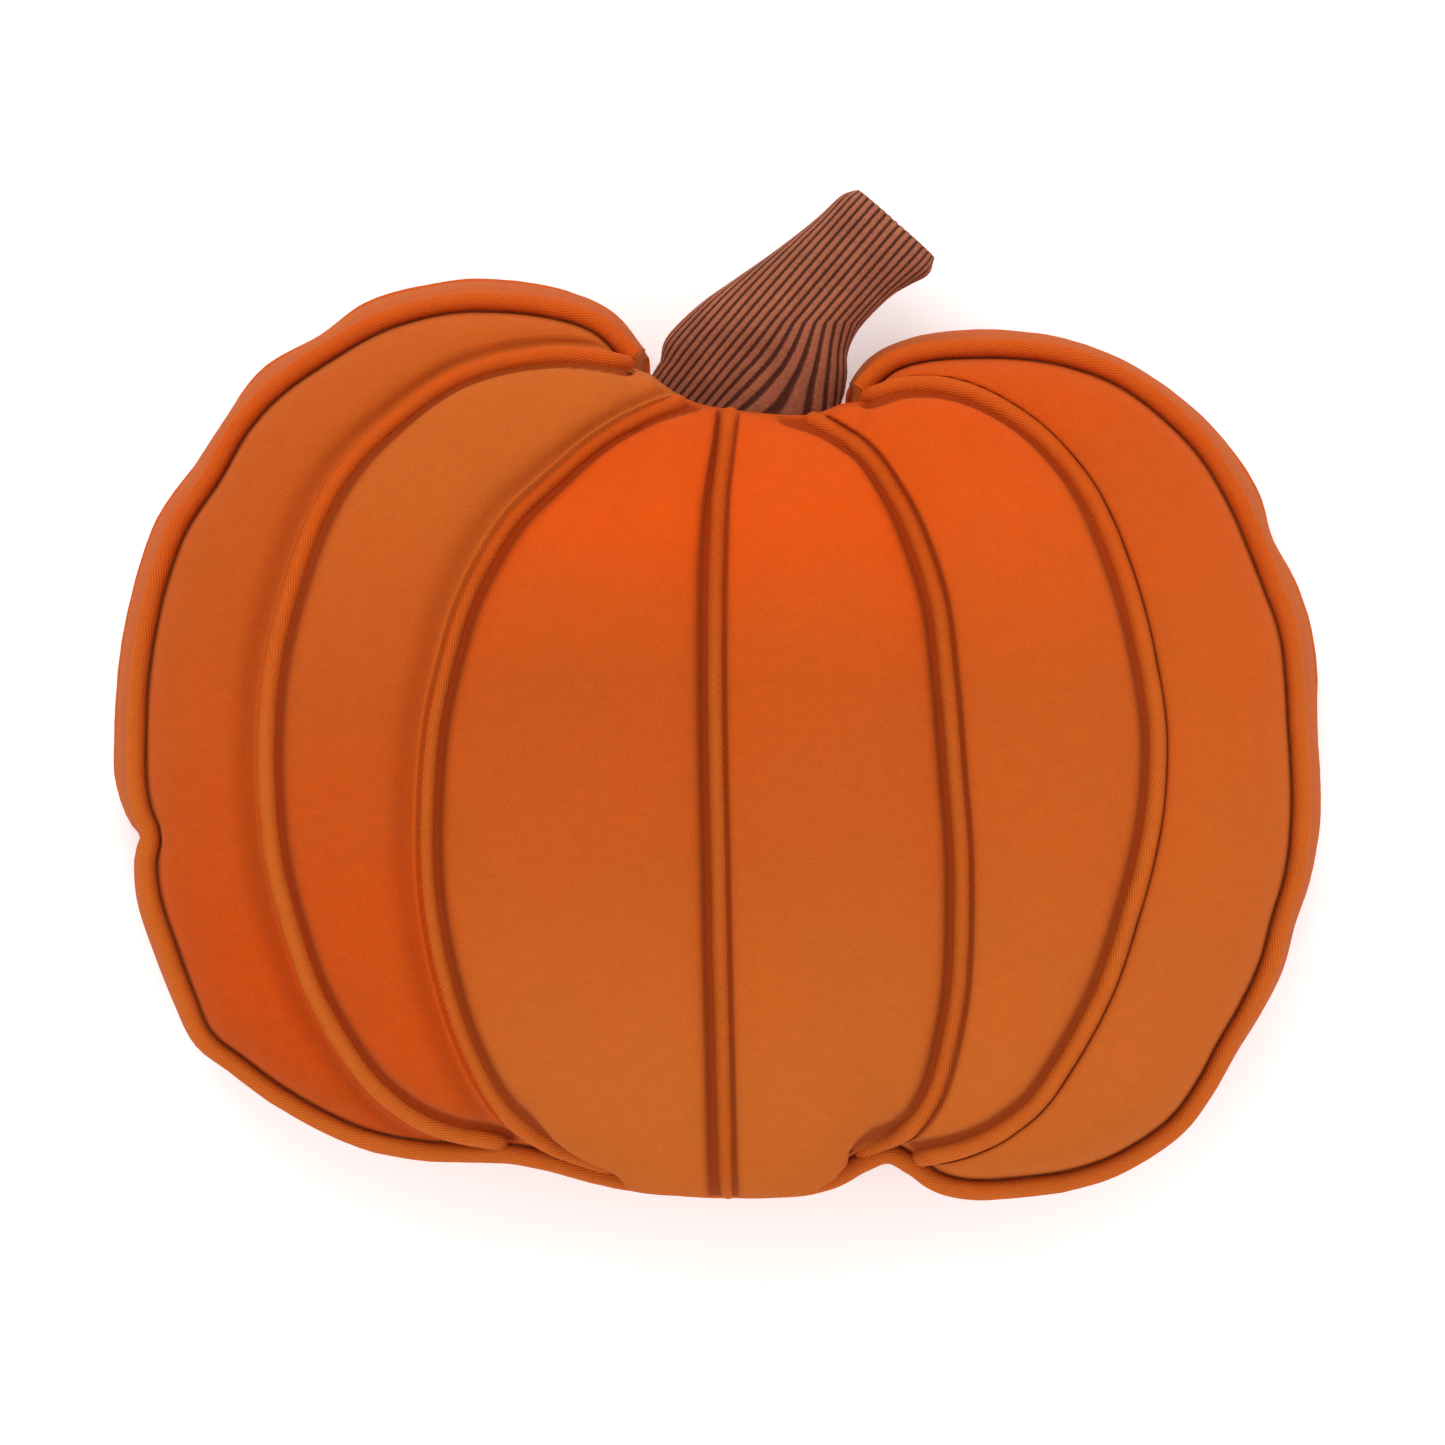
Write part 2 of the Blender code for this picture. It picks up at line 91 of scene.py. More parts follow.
# The five piped seams of the face, each from the notch down to the lower edge: x, y.
SEAMS = {
    "far_left": [
        (-28.5, 126.0), (-40.0, 127.5), (-55.5, 128.0), (-73.0, 125.5), (-89.5, 119.5), (-106.0, 108.0),
        (-122.5, 92.0), (-134.0, 73.0), (-143.0, 46.5), (-148.5, 21.5), (-150.0, -6.5), (-148.0, -36.0),
        (-142.0, -61.0), (-133.0, -85.5), (-119.0, -108.5), (-105.0, -122.0), (-89.0, -130.5),
        (-74.0, -135.5),
    ],
    "left": [
        (-10.5, 112.5), (-24.5, 108.5), (-40.0, 100.0), (-56.5, 86.0), (-70.5, 72.0), (-83.5, 49.0),
        (-90.5, 27.0), (-95.5, 3.5), (-97.5, -26.5), (-96.5, -52.5), (-92.0, -77.0), (-84.5, -100.5),
        (-73.5, -120.5), (-57.5, -133.5), (-37.5, -143.0),
    ],
    "middle": [
        (3.0, 109.5), (1.5, 96.5), (-0.5, 79.0), (-1.5, 49.0), (-1.5, 9.5), (-0.5, -39.5), (0.5, -85.5),
        (1.5, -119.5), (2.5, -147.0),
    ],
    "right": [
        (23.0, 107.5), (35.5, 104.0), (46.5, 97.0), (54.5, 87.0), (63.5, 70.5), (71.5, 46.5),
        (75.0, 19.0), (77.5, -11.5), (79.5, -39.5), (79.0, -75.0), (76.0, -96.5), (70.5, -116.5),
        (61.5, -129.0), (48.0, -138.0),
    ],
    "far_right": [
        (43.5, 114.5), (59.0, 118.0), (75.5, 117.5), (92.0, 111.0), (108.5, 98.5), (123.5, 78.5),
        (135.5, 47.5), (142.5, 15.5), (144.0, -4.5), (142.0, -28.0), (136.0, -53.0), (125.5, -84.0),
        (108.0, -114.5), (95.0, -127.0), (81.0, -134.5), (65.5, -139.5),
    ],
}

# The stem beyond its base: left x, left y, right x, right y, height of its middle, half its thickness.
STEM = [
    (-20.5, 128.0, 41.5, 117.0, 56.0, 13.5),
    (-19.0, 135.0, 42.5, 123.5, 56.5, 15.0),
    (-13.5, 141.5, 42.5, 129.5, 57.0, 16.5),
    (-5.5, 148.5, 44.0, 134.5, 57.5, 16.5),
    (4.5, 155.5, 47.0, 139.5, 57.5, 16.0),
    (14.5, 162.5, 52.0, 145.0, 57.0, 15.5),
    (24.5, 170.0, 58.0, 150.5, 56.0, 15.0),
    (33.0, 177.0, 64.0, 154.0, 55.0, 14.5),
    (40.5, 184.0, 70.0, 157.5, 54.0, 13.0),
    (46.0, 186.0, 72.0, 163.0, 53.5, 9.5),
]

# The stem's base: its share of the notch, the height of its middle and half its thickness, how far it stands
# off the wall and how square its section is.
STEM_BASE = (0.10, 0.86)
STEM_BASE_HEIGHT = (56.0, 10.0)
STEM_GAP = 0.5
STEM_SQUARENESS = 2.5

# How finely the cloth is laid out: rows down the face, even columns across a panel, and the columns beside
# its outer edge and beside a seam, as distances from the foot of the edge and the middle of the cord.
ROWS = 190
ROW_EASE = 0.6
PANEL_COLUMNS = [16, 16, 32, 26, 20, 18]
EDGE_STEPS = [0.0, 0.5, 1.1, 1.8, 2.7, 4.0, 5.6, 7.6, 10.0]
SEAM_STEPS = [0.0, 1.6, 2.6, 3.1, 3.5, 3.9, 4.4, 5.0, 5.8, 7.0, 8.6, 10.6, 13.0]
END_BLEND = 30
NARROW_MIDDLE = 12.0

# The cloth beside a seam, by which side of the cord it lies on: an open trough, tight against the cord, or a
# soft valley. Distance from the cord's middle, lean towards it, height, how much shade is painted into the
# crease.
OPEN_SIDE = [
    (0.0, 0.0, -3.0, 1.0), (2.6, 0.0, -4.2, 1.0), (3.5, 0.0, -4.6, 1.0), (4.4, -0.6, -4.2, 1.0),
    (5.0, -0.7, -2.2, 1.0), (5.8, -0.4, 0.4, 0.7), (7.0, 0.0, 1.9, 0.2), (8.6, 0.1, 2.7, 0.0),
    (10.6, 0.0, 3.2, 0.0), (14.0, 0.0, 3.7, 0.0), (22.0, 0.0, 4.4, 0.0),
]
TIGHT_SIDE = [
    (0.0, 0.0, -3.0, 1.0), (2.6, 0.0, -2.4, 1.0), (3.1, 0.0, -0.8, 1.0), (3.5, 0.1, 0.5, 0.9),
    (3.9, 0.3, 1.5, 0.5), (4.4, 0.4, 2.0, 0.2), (5.8, 0.3, 2.5, 0.0), (8.6, 0.0, 2.9, 0.0),
    (12.0, 0.0, 3.4, 0.0), (22.0, 0.0, 4.4, 0.0),
]
SOFT_SIDE = [
    (0.0, 0.0, -3.0, 0.0), (2.2, 0.0, -1.0, 0.0), (2.9, 0.0, 0.9, 0.0), (3.6, 0.0, 0.7, 0.0),
    (5.7, 0.0, -0.9, 0.5), (7.2, 0.0, -0.7, 0.5), (9.5, 0.0, 0.7, 0.2), (13.0, 0.0, 2.4, 0.0),
    (18.0, 0.0, 3.6, 0.0), (25.0, 0.0, 4.4, 0.0),
]
SEAM_SIDES = {
    "far_left": (SOFT_SIDE, OPEN_SIDE),
    "left": (SOFT_SIDE, OPEN_SIDE),
    "middle": (OPEN_SIDE, TIGHT_SIDE),
    "right": (OPEN_SIDE, TIGHT_SIDE),
    "far_right": (OPEN_SIDE, TIGHT_SIDE),
}
TOP_NARROW = 0.4
TOP_LENGTH = (5.0, 55.0)
PANEL_BULGE = 0.06
MOST_BULGE = 4.5
BULGE_SHAPE = (2.2, 0.8)
EDGE_FADE = (0.0, 2.5)

# How far the cloth hangs out over the cord of the lower edge: x, reach.
OVERHANG = [
    (-64.0, 0.0), (-54.0, 5.0), (-42.0, 8.0), (-26.0, 9.0), (24.0, 9.0), (32.0, 7.5), (40.0, 4.0),
    (50.0, 0.0),
]
OVERHANG_RISE = (0.6, 3.5)
OVERHANG_FADE = (4.0, 45.0)
OVERHANG_ROOM = (2.0, 8.0)

# The panels that hang over, and at which of their two lines the hanging cloth starts.
HANGING = {2: 0, 3: 1}

# How the nap of each panel lies, from top to bottom, as painted colour: y, how deep its colour is (paler
# where a sheen is painted), how much painted light and shade it gets.
NAP_AND_PAINTED_LIGHT = [
    [(140.0, 0.35, 0.45), (60.0, 0.45, 0.3), (0.0, 0.55, 0.3), (-60.0, 0.9, 0.35), (-120.0, 0.95, 0.3)],
    [(130.0, 0.15, 0.6), (80.0, 0.2, 0.5), (10.0, 0.5, 0.3), (-50.0, 0.9, 0.45), (-130.0, 0.8, 0.35)],
    [(110.0, 1.0, 0.7), (75.0, 1.0, 0.95), (20.0, 0.6, 0.35), (-40.0, 0.35, 0.35), (-110.0, 0.0, 0.6)],
    [(110.0, 1.0, 0.85), (75.0, 1.0, 1.0), (20.0, 0.6, 0.45), (-40.0, 0.35, 0.4), (-110.0, 0.0, 0.6)],
    [(115.0, 1.0, 0.8), (80.0, 0.85, 0.9), (20.0, 0.45, 0.45), (-40.0, 0.25, 0.45), (-110.0, 0.0, 0.6)],
    [(130.0, 0.9, 0.6), (80.0, 0.7, 0.65), (10.0, 0.4, 0.6), (-50.0, 0.2, 0.6), (-120.0, 0.0, 0.6)],
]

# A seam's cord turns down into the notch this far inside its edge.
CORD_TURN = 2.8
CORD_HANG = 0.8

# The cloth under a cord, from the foot inside it to where the boxing leaves it, as distance outwards from
# the cord's middle and height.
CORD_SEAT = [(-3.7, -1.6), (-2.9, -2.9), (-1.4, -3.6)]
BOXING_ROWS = 26
BOXING_SWELL = 5.5
BACK_ROWS = [
    (0.985, 14.0), (0.965, 9.5), (0.94, 5.0), (0.91, 2.0), (0.87, 0.5), (0.83, 0.0), (0.6, 0.0), (0.3, 0.0),
]

# The look of the boxing and the back: how deep its colour is against the painted sheen, how much painted
# light and shade it gets, how much shade is painted into its crease.
BOXING_LOOK = (0.45, 0.3, 0.0)

# The filling pushes the cloth out for some frames of simulation; movement stays under a limit.
CLOTH_FRAMES = 20
CLOTH_QUALITY = 6
FILLING_PRESSURE = 4.0
CLOTH_SLACK = 0.02
MOST_MOVE = 6.0

# The cover of a cord: how uneven it is, its steps and sides, the pitch of its ribs in metres and their slant.
CORD_UNEVENNESS = 0.6
CORD_STEP = 0.8
CORD_SIDES = 20
RIB_PITCH = 0.0026
RIB_SLANT = 21.0

# The ribs of the stem's cloth run at this angle and bend upright at the right of its base, below a height in
# the photo and from one share of its width to another.
RIB_TURN = 50.0
RIB_BEND = 0.9
RIB_BEND_HEIGHT = 140.0
RIB_BEND_SHARES = (0.35, 1.0)
STEM_RIB_PITCH = 2.8
STEM_RIB_DEPTH = 0.7

# How finely the stem is laid out: its rows, the rings from its base to the first of them, its sides, the
# points of a section before they are spaced evenly, and the rings that close its tip.
STEM_ROWS = 90
STEM_BASE_RINGS = 7
STEM_SIDES = 560
SECTION_POINTS = 400
TIP_RINGS = (1.0, 0.8, 0.55, 0.3, 0.1)

# The cloth is simulated with one row, station and level in this many, and one column in two.
CLOTH_SKIP = 3

ROOM_LIGHT = 0.9
FLOOR_GLOW = 0.25


def smooth_path(table, fractions):
    """Points at fractions of the plan length of a smooth curve through a table's rows."""
    rows = np.array(table, float)
    run = np.vstack([2 * rows[0] - rows[1], rows, 2 * rows[-1] - rows[-2]])
    t = np.linspace(0, 1, CURVE_STEPS, endpoint=False)[:, None]
    spans = []
    for a, b, c, d in zip(run, run[1:], run[2:], run[3:]):
        bend = (2 * a - 5 * b + 4 * c - d) * t**2 + (3 * b - a - 3 * c + d) * t**3
        spans.append(b + 0.5 * ((c - a) * t + bend))
    fine = np.vstack([*spans, rows[-1:]])
    steps = np.linalg.norm(np.diff(fine[:, :2], axis=0), axis=1)
    length = np.concatenate([[0.0], np.cumsum(steps)])
    wanted = np.asarray(fractions) * length[-1]
    return np.column_stack([np.interp(wanted, length, column) for column in fine.T])


def path_length(table):
    """The plan length of a smooth curve through a table's rows."""
    fine = smooth_path(table, np.linspace(0, 1, 500))
    return np.linalg.norm(np.diff(fine[:, :2], axis=0), axis=1).sum()


def nearest_fraction(table, point):
    """Where along a smooth curve through the table a point lies nearest, from 0 to 1."""
    fractions = np.linspace(0, 1, 4001)
    away = smooth_path(table, fractions)[:, :2] - np.array(point)
    return fractions[np.argmin((away**2).sum(axis=1))]


def unit(vectors):
    """Vectors scaled to length 1; one without a length stays as it is."""
    return vectors / np.maximum(np.linalg.norm(vectors, axis=-1, keepdims=True), 1e-9)


def outward(loop):
    """Unit normals in plan of an anticlockwise closed loop."""
    along = unit(np.roll(loop, -1, axis=0) - np.roll(loop, 1, axis=0))
    return np.column_stack([along[:, 1], -along[:, 0]])


def smooth_step(value, low, high):
    """0 below low, 1 above high and a soft rise between."""
    share = np.clip((value - low) / (high - low), 0, 1)
    return share * share * (3 - 2 * share)


def curve_through(table, place):
    """The columns of a table after its first, at places along the first."""
    rows = np.array(table)
    return [np.interp(place, rows[:, 0], column) for column in rows.T[1:]]


def row_fractions():
    """Rows from the notch to the lower edge, closer together at both ends, where the face turns down."""
    t = np.linspace(0, 1, ROWS + 1)
    return t - ROW_EASE * np.sin(2 * math.pi * t) / (2 * math.pi)


class Crown:
    """The height of the face over its plan: highest in the middle, steep at the edge."""

    def __init__(self, loop):
        away = loop - np.array(CROWN_CENTRE)
        turn = np.arctan2(away[:, 1], away[:, 0])
        order = np.argsort(turn)
        self.turn = turn[order]
        self.reach = np.linalg.norm(away, axis=1)[order]

    def height(self, points):
        away = points - np.array(CROWN_CENTRE)
        turn = np.arctan2(away[..., 1], away[..., 0])
        reach = np.interp(turn, self.turn, self.reach, period=2 * math.pi)
        share = np.clip(np.linalg.norm(away, axis=-1) / reach, 0, 1)
        fall, lift = CROWN_SHAPE
        return FRONT_EDGE_HEIGHT + CROWN * (1 - share**fall) ** lift


def side_steps(panel):
    """A panel's columns at its left and right side, as distances from the line there."""
    left = EDGE_STEPS if panel == 0 else SEAM_STEPS
    right = EDGE_STEPS if panel == len(PANEL_COLUMNS) - 1 else SEAM_STEPS
    return left, right


def panel_steps(panel):
    """How many columns a panel has from one of its lines to the other."""
    left, right = side_steps(panel)
    return len(left) + len(right) - 2 + PANEL_COLUMNS[panel]


def column_shares(panel, width):
    """Where a panel's columns lie from its left line to its right one, from 0 to 1, at a width."""
    left, right = side_steps(panel)
    scale = min(1.0, width / (left[-1] + right[-1] + NARROW_MIDDLE)) / width
    left = np.array(left) * scale
    right = 1 - np.array(right[::-1]) * scale
    middle = np.linspace(left[-1], right[0], PANEL_COLUMNS[panel] + 1)
    return np.concatenate([left[:-1], middle, right[1:]])


def edge_stations():
    """The outline's stations, anticlockwise from the left of the stem: the left edge, the lower edge of
    the four inner panels, the right edge and the notch. Gives the plan, the spread and the corded count."""
    ends = [nearest_fraction(FRONT_EDGE, line[-1]) for line in SEAMS.values()]
    tops = [nearest_fraction(NOTCH_EDGE, line[0]) for line in SEAMS.values()]
    tops[0] = 1.0
    tops[-1] = 0.0
    corded = [ends[0] * row_fractions()]
    bare = []
    for panel in range(1, len(SEAMS)):
        low, high = ends[panel - 1], ends[panel]
        shares = column_shares(panel, (high - low) * path_length(FRONT_EDGE))
        corded.append(low + (high - low) * shares[1:])
        low, high = tops[panel], tops[panel - 1]
        shares = column_shares(panel, (high - low) * path_length(NOTCH_EDGE))
        bare.insert(0, high - (high - low) * shares[-2::-1])
    corded.append((ends[-1] + (1 - ends[-1]) * row_fractions())[1:])
    corded = smooth_path(FRONT_EDGE, np.concatenate(corded))
    bare = smooth_path(NOTCH_EDGE, np.concatenate(bare)[:-1])
    loop = np.vstack([corded, bare])
    return loop[:, :2], loop[:, 2], len(corded)


class Outline:
    """The front edge in plan: the middle of its cord, its normals, the foot of the face inside it, and how
    deep the pocket for the stem is at each station of the notch."""

    def __init__(self):
        self.cord, self.spread, self.corded = edge_stations()
        self.normal = outward(self.cord)
        bare = self.cord[self.corded :]
        corners = self.cord[[0, self.corded - 1]]
        away = np.linalg.norm(bare[:, None] - corners, axis=2).min(axis=1)
        self.pocket = np.zeros(len(self.cord))
        self.pocket[self.corded :] = np.clip(away / POCKET_RAMP, 0, 1)
        self.inset = CORD_FOOT * (1 - self.pocket)
        self.foot = self.cord - self.normal * self.inset[:, None]

    def ends_of(self, panel):
        """The stations of a panel's upper and lower end, from left to right."""
        before = sum(panel_steps(earlier) for earlier in range(1, panel))
        grooved = 0 < panel < len(PANEL_COLUMNS) - 1
        across = np.arange(panel_steps(panel) + 1) * grooved
        return -(before + across) % len(self.cord), ROWS + before + across

    def ring(self, offset, height):
        """The front edge moved outwards by an offset, at a height. Each is one number or one a station."""
        plan = self.cord + self.normal * np.reshape(offset, (-1, 1))
        return np.column_stack([plan, np.zeros(len(plan)) + height])

    def back_ring(self, offset, height):
        """The back edge moved outwards by an offset, at a height."""
        back = self.cord + self.normal * (self.spread - STEM_POCKET * self.pocket)[:, None]
        plan = back + outward(back) * np.reshape(offset, (-1, 1))
        return np.column_stack([plan, np.zeros(len(plan)) + height])


def face_lines(outline):
    """The seven lines down the face in plan: its left edge, the five seams and its right edge."""
    lines = [outline.foot[: ROWS + 1]]
    ease = 1 - smooth_step(np.arange(ROWS + 1), 0, END_BLEND)[:, None]
    for panel, table in enumerate(SEAMS.values(), 1):
        upper, lower = outline.ends_of(panel)
        line = smooth_path(table, row_fractions())
        line = line + (outline.foot[upper[0]] - line[0]) * ease
        line = line + (outline.foot[lower[0]] - line[-1]) * ease[::-1]
        lines.append(line)
    last = outline.corded
    lines.append(outline.foot[last - ROWS - 1 : last][::-1])
    return lines


def panel_plan(left, right, panel):
    """The plan of a panel's columns from its left line to its right one."""
    width = np.linalg.norm(right - left, axis=1)
    shares = np.array([column_shares(panel, max(w, 0.01)) for w in width])
    return left + shares.T[..., None] * (right - left)


def distance_to(line, points):
    """How far points in plan lie from a line, and the direction to its nearest point."""
    start = line[:-1]
    step = np.diff(line, axis=0)
    length = np.maximum((step**2).sum(axis=1), 1e-12)
    flat = points.reshape(-1, 2)
    share = ((flat[:, None] - start) * step).sum(axis=2) / length
    nearest = start + step * np.clip(share, 0, 1)[..., None]
    away = np.linalg.norm(nearest - flat[:, None], axis=2)
    best = np.argmin(away, axis=1)
    picked = np.arange(len(flat))
    towards = unit(nearest[picked, best] - flat)
    return away[picked, best].reshape(points.shape[:-1]), towards.reshape(points.shape)


def fitted(plan, upper, lower):
    """A panel's plan with its first and last rows eased onto its ends."""
    ease = 1 - smooth_step(np.arange(ROWS + 1), 0, END_BLEND)[:, None]
    plan = plan + (upper - plan[:, 0])[:, None] * ease
    return plan + (lower - plan[:, -1])[:, None] * ease[::-1]


class Face:
    """The shape of the face over its plan, before the seams: the crown and the overhang."""

    def __init__(self, outline):
        self.crown = Crown(outline.foot)
        self.loop = np.vstack([outline.foot, outline.foot[:1]])[::3]

    def place(self, plan, hang=1.0):
        """Points of the face over points in plan, and how far inside the edge each is. The overhang is
        taken hang times."""
        from_edge, outwards = distance_to(self.loop, plan)
        reach = np.array(OVERHANG)
        reach = np.interp(plan[..., 0], reach[:, 0], reach[:, 1]) * (plan[..., 1] < 0) * hang
        reach = reach * smooth_step(from_edge, *OVERHANG_RISE) * (1 - smooth_step(from_edge, *OVERHANG_FADE))
        moved = plan + outwards * reach[..., None]
        return np.concatenate([moved, self.crown.height(plan)[..., None]], axis=-1), from_edge


def line_depth(line, plan):
    """How far below the top of a seam's line points in plan lie."""
    return line[0, 1] - plan[..., 1]


def panel_surface(plan, left, right, panel, face):
    """A panel as points in space: the face, the two seams beside it and the bulge of the filling."""
    sides = [distance_to(line, plan) for line in (left, right)]
    gaps = [away for away, towards in sides]
    hang = smooth_step(gaps[HANGING[panel]], *OVERHANG_ROOM) if panel in HANGING else 0.0
    points, from_edge = face.place(plan, hang)
    fade = smooth_step(from_edge, *EDGE_FADE)
    names = list(SEAMS)
    # Shade is painted into the creases beside the cords: dark from the seam tables says how much, and the
    # larger of the two sides is kept.
    painted_crease_shade = np.zeros(plan.shape[:2])
    for line, (away, towards), seam, side in zip((left, right), sides, (panel - 1, panel), (1, 0)):
        if 0 <= seam < len(names):
            narrow = TOP_NARROW + (1 - TOP_NARROW) * smooth_step(line_depth(line, plan), *TOP_LENGTH)
            away = np.where(away > CORD_RADIUS, CORD_RADIUS + (away - CORD_RADIUS) / narrow, away)
            lean, rise, dark = curve_through(SEAM_SIDES[names[seam]][side], away)
            points[..., 2] += rise * fade
            points[..., :2] += towards * (lean * fade)[..., None]
            painted_crease_shade = np.maximum(painted_crease_shade, dark * fade)
    width = gaps[0] + gaps[1]
    power, lift = BULGE_SHAPE
    swell = (1 - np.abs(2 * gaps[0] / np.maximum(width, 1e-6) - 1) ** power) ** lift
    points[..., 2] += np.minimum(MOST_BULGE, PANEL_BULGE * width) * swell * fade
    # The panel's painted sheen (depth), painted light and shade (light) and painted crease shade go on as its
    # attributes.
    nap = np.array(NAP_AND_PAINTED_LIGHT[panel])[::-1]
    depth, light = (np.interp(plan[..., 1], nap[:, 0], column) for column in nap.T[1:])
    return np.concatenate([points, np.stack([depth, light, painted_crease_shade], axis=-1)], axis=-1)


def face_grid(outline):
    """All columns of the face from left to right, and for each seam its line."""
    face = Face(outline)
    lines = face_lines(outline)
    foot = np.column_stack([outline.foot, np.full(len(outline.foot), FRONT_EDGE_HEIGHT)])
    grid = []
    for panel, (left, right) in enumerate(zip(lines, lines[1:])):
        upper, lower = outline.ends_of(panel)
        plan = fitted(panel_plan(left, right, panel), outline.foot[upper], outline.foot[lower])
        surface = panel_surface(plan, left, right, panel, face)
        surface[:, 0, :3] = foot[upper]
        surface[:, -1, :3] = foot[lower]
        grid += list(surface[1:] if panel else surface)
    grid = np.array(grid)
    grid[0, :, :3] = foot[: ROWS + 1]
    grid[-1, :, :3] = foot[outline.corded - ROWS - 1 : outline.corded][::-1]
    return grid, [seam_path(line, name, face) for name, line in zip(SEAMS, lines[1:-1])]


def seam_path(line, name, face):
    """The middle of a seam's cord. The inner three turn down into the notch just inside the face's edge."""
    points, from_edge = face.place(line, CORD_HANG * (name == "middle"))
    if name in ("left", "middle", "right"):
        inside = np.flatnonzero(from_edge[: ROWS // 2] >= CORD_TURN)[0]
        points[:inside, :2] = points[inside, :2]
    return points


def boxing_rings(outline):
    """Rings from the face's edge over the boxing to the back; each station keeps its place in the loop."""
    inward = STEM_POCKET * outline.pocket
    corded = 1 - outline.pocket
    rings = [outline.ring(away * corded - inward, FRONT_EDGE_HEIGHT + rise) for away, rise in CORD_SEAT]
    away, rise = CORD_SEAT[-1]
    top = FRONT_EDGE_HEIGHT + rise
    bottom = BACK_EDGE_HEIGHT - rise
    start = outline.ring(away * corded - inward, top)
    end = outline.back_ring(away * corded, bottom)
    for share in np.linspace(0, 1, BOXING_ROWS + 1)[1:-1]:
        swell = BOXING_SWELL * math.sin(math.pi * share) ** 0.6
        ring = start + (end - start) * share
        ring[:, :2] += outline.normal * (swell * corded)[:, None]
        rings.append(ring)
    rings += [outline.back_ring(away * corded, BACK_EDGE_HEIGHT - rise) for away, rise in CORD_SEAT[::-1]]
    hem = outline.back_ring(-CORD_FOOT, BACK_EDGE_HEIGHT)
    rings.append(hem)
    centre = np.array([*CROWN_CENTRE, 0.0])
    for scale, height in BACK_ROWS:
        ring = centre + (hem - centre) * scale
        ring[:, 2] = height
        rings.append(ring)
    return rings


class Skin:
    """Faces gathered from sheets of points; points at one place become one, and a face that has shrunk to
    an edge there is left out."""

    def __init__(self):
        self.numbers = {}
        self.faces = []
        self.marks = {}

    def number(self, point):
        return self.numbers.setdefault(tuple(round(float(c), 4) for c in point), len(self.numbers))

    def mark(self, points, values):
        """Notes values for points, for the attributes."""
        for point, value in zip(points.reshape(-1, 3), values.reshape(-1, values.shape[-1])):
            self.marks[self.number(point)] = value

    def face(self, *points):
        corners = list(dict.fromkeys(self.number(point) for point in points))
        if len(corners) > 2:
            self.faces.append(corners)

    def sheet(self, lines, closed=False):
        """Four-sided faces between each line of points and the next."""
        for line, following in zip(lines, lines[1:]):
            count = len(line)
            for here in range(count if closed else count - 1):
                there = (here + 1) % count
                self.face(line[here], line[there], following[there], following[here])

    def fan(self, ring, centre):
        for here in range(len(ring)):
            self.face(ring[here - 1], ring[here], centre)

    def build(self, name):
        mesh = bpy.data.meshes.new(name)
        mesh.from_pydata([[c * MM for c in point] for point in self.numbers], [], self.faces)
        shell = bmesh.new()
        shell.from_mesh(mesh)
        bmesh.ops.recalc_face_normals(shell, faces=shell.faces)
        shell.to_mesh(mesh)
        shell.free()
        mesh.shade_smooth()
        return add_object(name, mesh)

    def store(self, mesh, titles, default):
        """Stores the noted values as the mesh's attributes."""
        values = np.array([self.marks.get(number, default) for number in range(len(mesh.vertices))])
        for title, column in zip(titles, values.T):
            made = mesh.attributes.new(title, "FLOAT", "POINT")
            made.data.foreach_set("value", np.ascontiguousarray(column, dtype=np.float32))


def add_object(name, data):
    made = bpy.data.objects.new(name, data)
    bpy.context.scene.collection.objects.link(made)
    return made


class Value:
    """A number in a node tree. Arithmetic on it adds Math nodes."""

    def __init__(self, nodes, socket):
        self.nodes = nodes
        self.socket = socket

    def __add__(self, other):
        return self.nodes.math("ADD", self, other)

    def __radd__(self, other):
        return self.nodes.math("ADD", other, self)

    def __sub__(self, other):
        return self.nodes.math("SUBTRACT", self, other)

    def __rsub__(self, other):
        return self.nodes.math("SUBTRACT", other, self)

    def __mul__(self, other):
        return self.nodes.math("MULTIPLY", self, other)

    def __rmul__(self, other):
        return self.nodes.math("MULTIPLY", other, self)

    def __truediv__(self, other):
        return self.nodes.math("DIVIDE", self, other)

    def __rtruediv__(self, other):
        return self.nodes.math("DIVIDE", other, self)

    def __pow__(self, other):
        return self.nodes.math("POWER", self, other)


class Nodes:
    """Adds nodes to a tree, one call each."""

    def __init__(self, tree):
        self.tree = tree

    def add(self, kind, values=None, **settings):
        """A node of a kind, with its settings, and its inputs' values or links by name or number."""
        node = self.tree.nodes.new(kind)
        for name, value in settings.items():
            setattr(node, name, value)
        for name, value in (values or {}).items():
            self.set(node.inputs[name], value)
        return node

    def set(self, socket, value):
        if isinstance(value, Value):
            value = value.socket
        if isinstance(value, bpy.types.NodeSocket):
            self.tree.links.new(value, socket)
        else:
            socket.default_value = value

    def value(self, kind, values=None, output=0, **settings):
        """A number that a node gives."""
        return Value(self, self.add(kind, values, **settings).outputs[output])

    def math(self, operation, *values, **settings):
        return self.value("ShaderNodeMath", dict(enumerate(values)), operation=operation, **settings)

    def ramp(self, value, low, high):
        """0 where the value is at low, 1 at high and a soft rise between."""
        limits = {"Value": value, "From Min": low, "From Max": high}
        return self.value("ShaderNodeMapRange", limits, interpolation_type="SMOOTHSTEP")

    def mix(self, share, first, second, **settings):
        """A colour between two."""
        made = self.add("ShaderNodeMix", {"Factor": share}, data_type="RGBA", **settings)
        self.set(made.inputs[6], first)
        self.set(made.inputs[7], second)
        return made.outputs[2]


